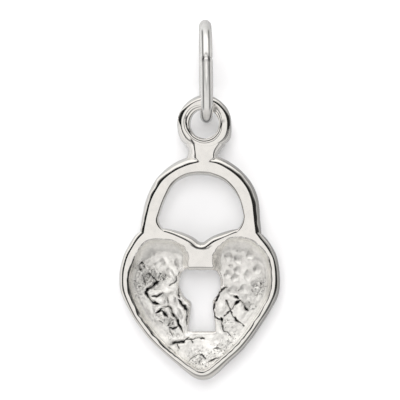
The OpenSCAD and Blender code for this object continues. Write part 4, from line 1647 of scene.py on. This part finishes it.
class PENDANT_OT_studio(bpy.types.Operator):
    """Set up the white backdrop and floor, the soft light and the camera"""

    bl_idname = "pendant.studio"
    bl_label = "Studio"

    def execute(self, context):
        wish = context.scene.pendant
        profile = sheet_profile(wish.backdrop_gap / MM)
        deselect_all()
        bpy.ops.mesh.primitive_grid_add(x_subdivisions=1, y_subdivisions=len(profile) - 1, size=2)
        sheet = context.object
        sheet.name = "studio_sheet"
        corners = sorted(sheet.data.vertices, key=lambda v: (round(v.co.y, 4), v.co.x))
        for k, corner in enumerate(corners):
            y, z = profile[len(profile) - 1 - k // 2]
            corner.co = Vector((SHEET_HALF if k % 2 else -SHEET_HALF, y, z)) * MM
        sheet.data.update()
        bpy.ops.object.shade_smooth()
        sheet.data.materials.append(studio_white())
        bpy.ops.object.light_add(type="AREA", location=(0, 0, 0))
        lamp = context.object
        lamp.name = "studio_softbox"
        aim = Vector((0, 0, LAMP_AIM)) * MM
        level = math.cos(LAMP_RISE)
        way = Vector((level * math.sin(LAMP_TURN), -level * math.cos(LAMP_TURN), math.sin(LAMP_RISE)))
        lamp.location = aim + way * LAMP_FAR * MM
        turn_along(lamp, -way)
        lamp.data.shape = "DISK"
        lamp.data.size = LAMP_SIZE * MM
        lamp.data.energy = LAMP_POWER * wish.light
        lamp.visible_glossy = False
        lamp.visible_camera = False
        context.scene.world = studio_world()
        context.scene.view_settings.view_transform = "Standard"
        context.scene.view_settings.look = "None"
        bpy.ops.object.camera_add(location=(0, 0, 0))
        camera = context.object
        camera.name = "camera"
        across, up = CAMERA_AT
        target = (VIEW_RIGHT * across + Vector((0, 0, up))) * MM
        camera.location = target - VIEW_AHEAD * CAMERA_FAR * MM
        turn_along(camera, VIEW_AHEAD)
        camera.data.sensor_width = SENSOR
        camera.data.lens = SENSOR * CAMERA_FAR / PICTURE_WIDE
        camera.data.clip_start = 0.01
        camera.data.clip_end = 10
        camera.data.dof.use_dof = False
        context.scene.camera = camera
        return {"FINISHED"}


class PENDANT_PT_sidebar(bpy.types.Panel):
    """The pendant's settings and its build steps"""

    bl_idname = "PENDANT_PT_sidebar"
    bl_label = "Heart Lock Pendant"
    bl_space_type = "VIEW_3D"
    bl_region_type = "UI"
    bl_category = "Pendant"

    def draw(self, context):
        wish = context.scene.pendant
        for name in ("rim_parts", "pan_rows", "relief", "wire", "backdrop_gap", "light"):
            self.layout.prop(wish, name)
        for step in (PENDANT_OT_casting, PENDANT_OT_jump_ring, PENDANT_OT_studio):
            self.layout.operator(step.bl_idname)


CLASSES = (
    PendantSettings,
    PENDANT_OT_casting,
    PENDANT_OT_jump_ring,
    PENDANT_OT_studio,
    PENDANT_PT_sidebar,
)


def register():
    for cls in CLASSES:
        bpy.utils.register_class(cls)
    bpy.types.Scene.pendant = bpy.props.PointerProperty(type=PendantSettings)


def unregister():
    del bpy.types.Scene.pendant
    for cls in reversed(CLASSES):
        bpy.utils.unregister_class(cls)


def main():
    register()
    bpy.ops.pendant.casting()
    bpy.ops.pendant.jump_ring()
    bpy.ops.pendant.studio()


if __name__ == "__main__":
    main()
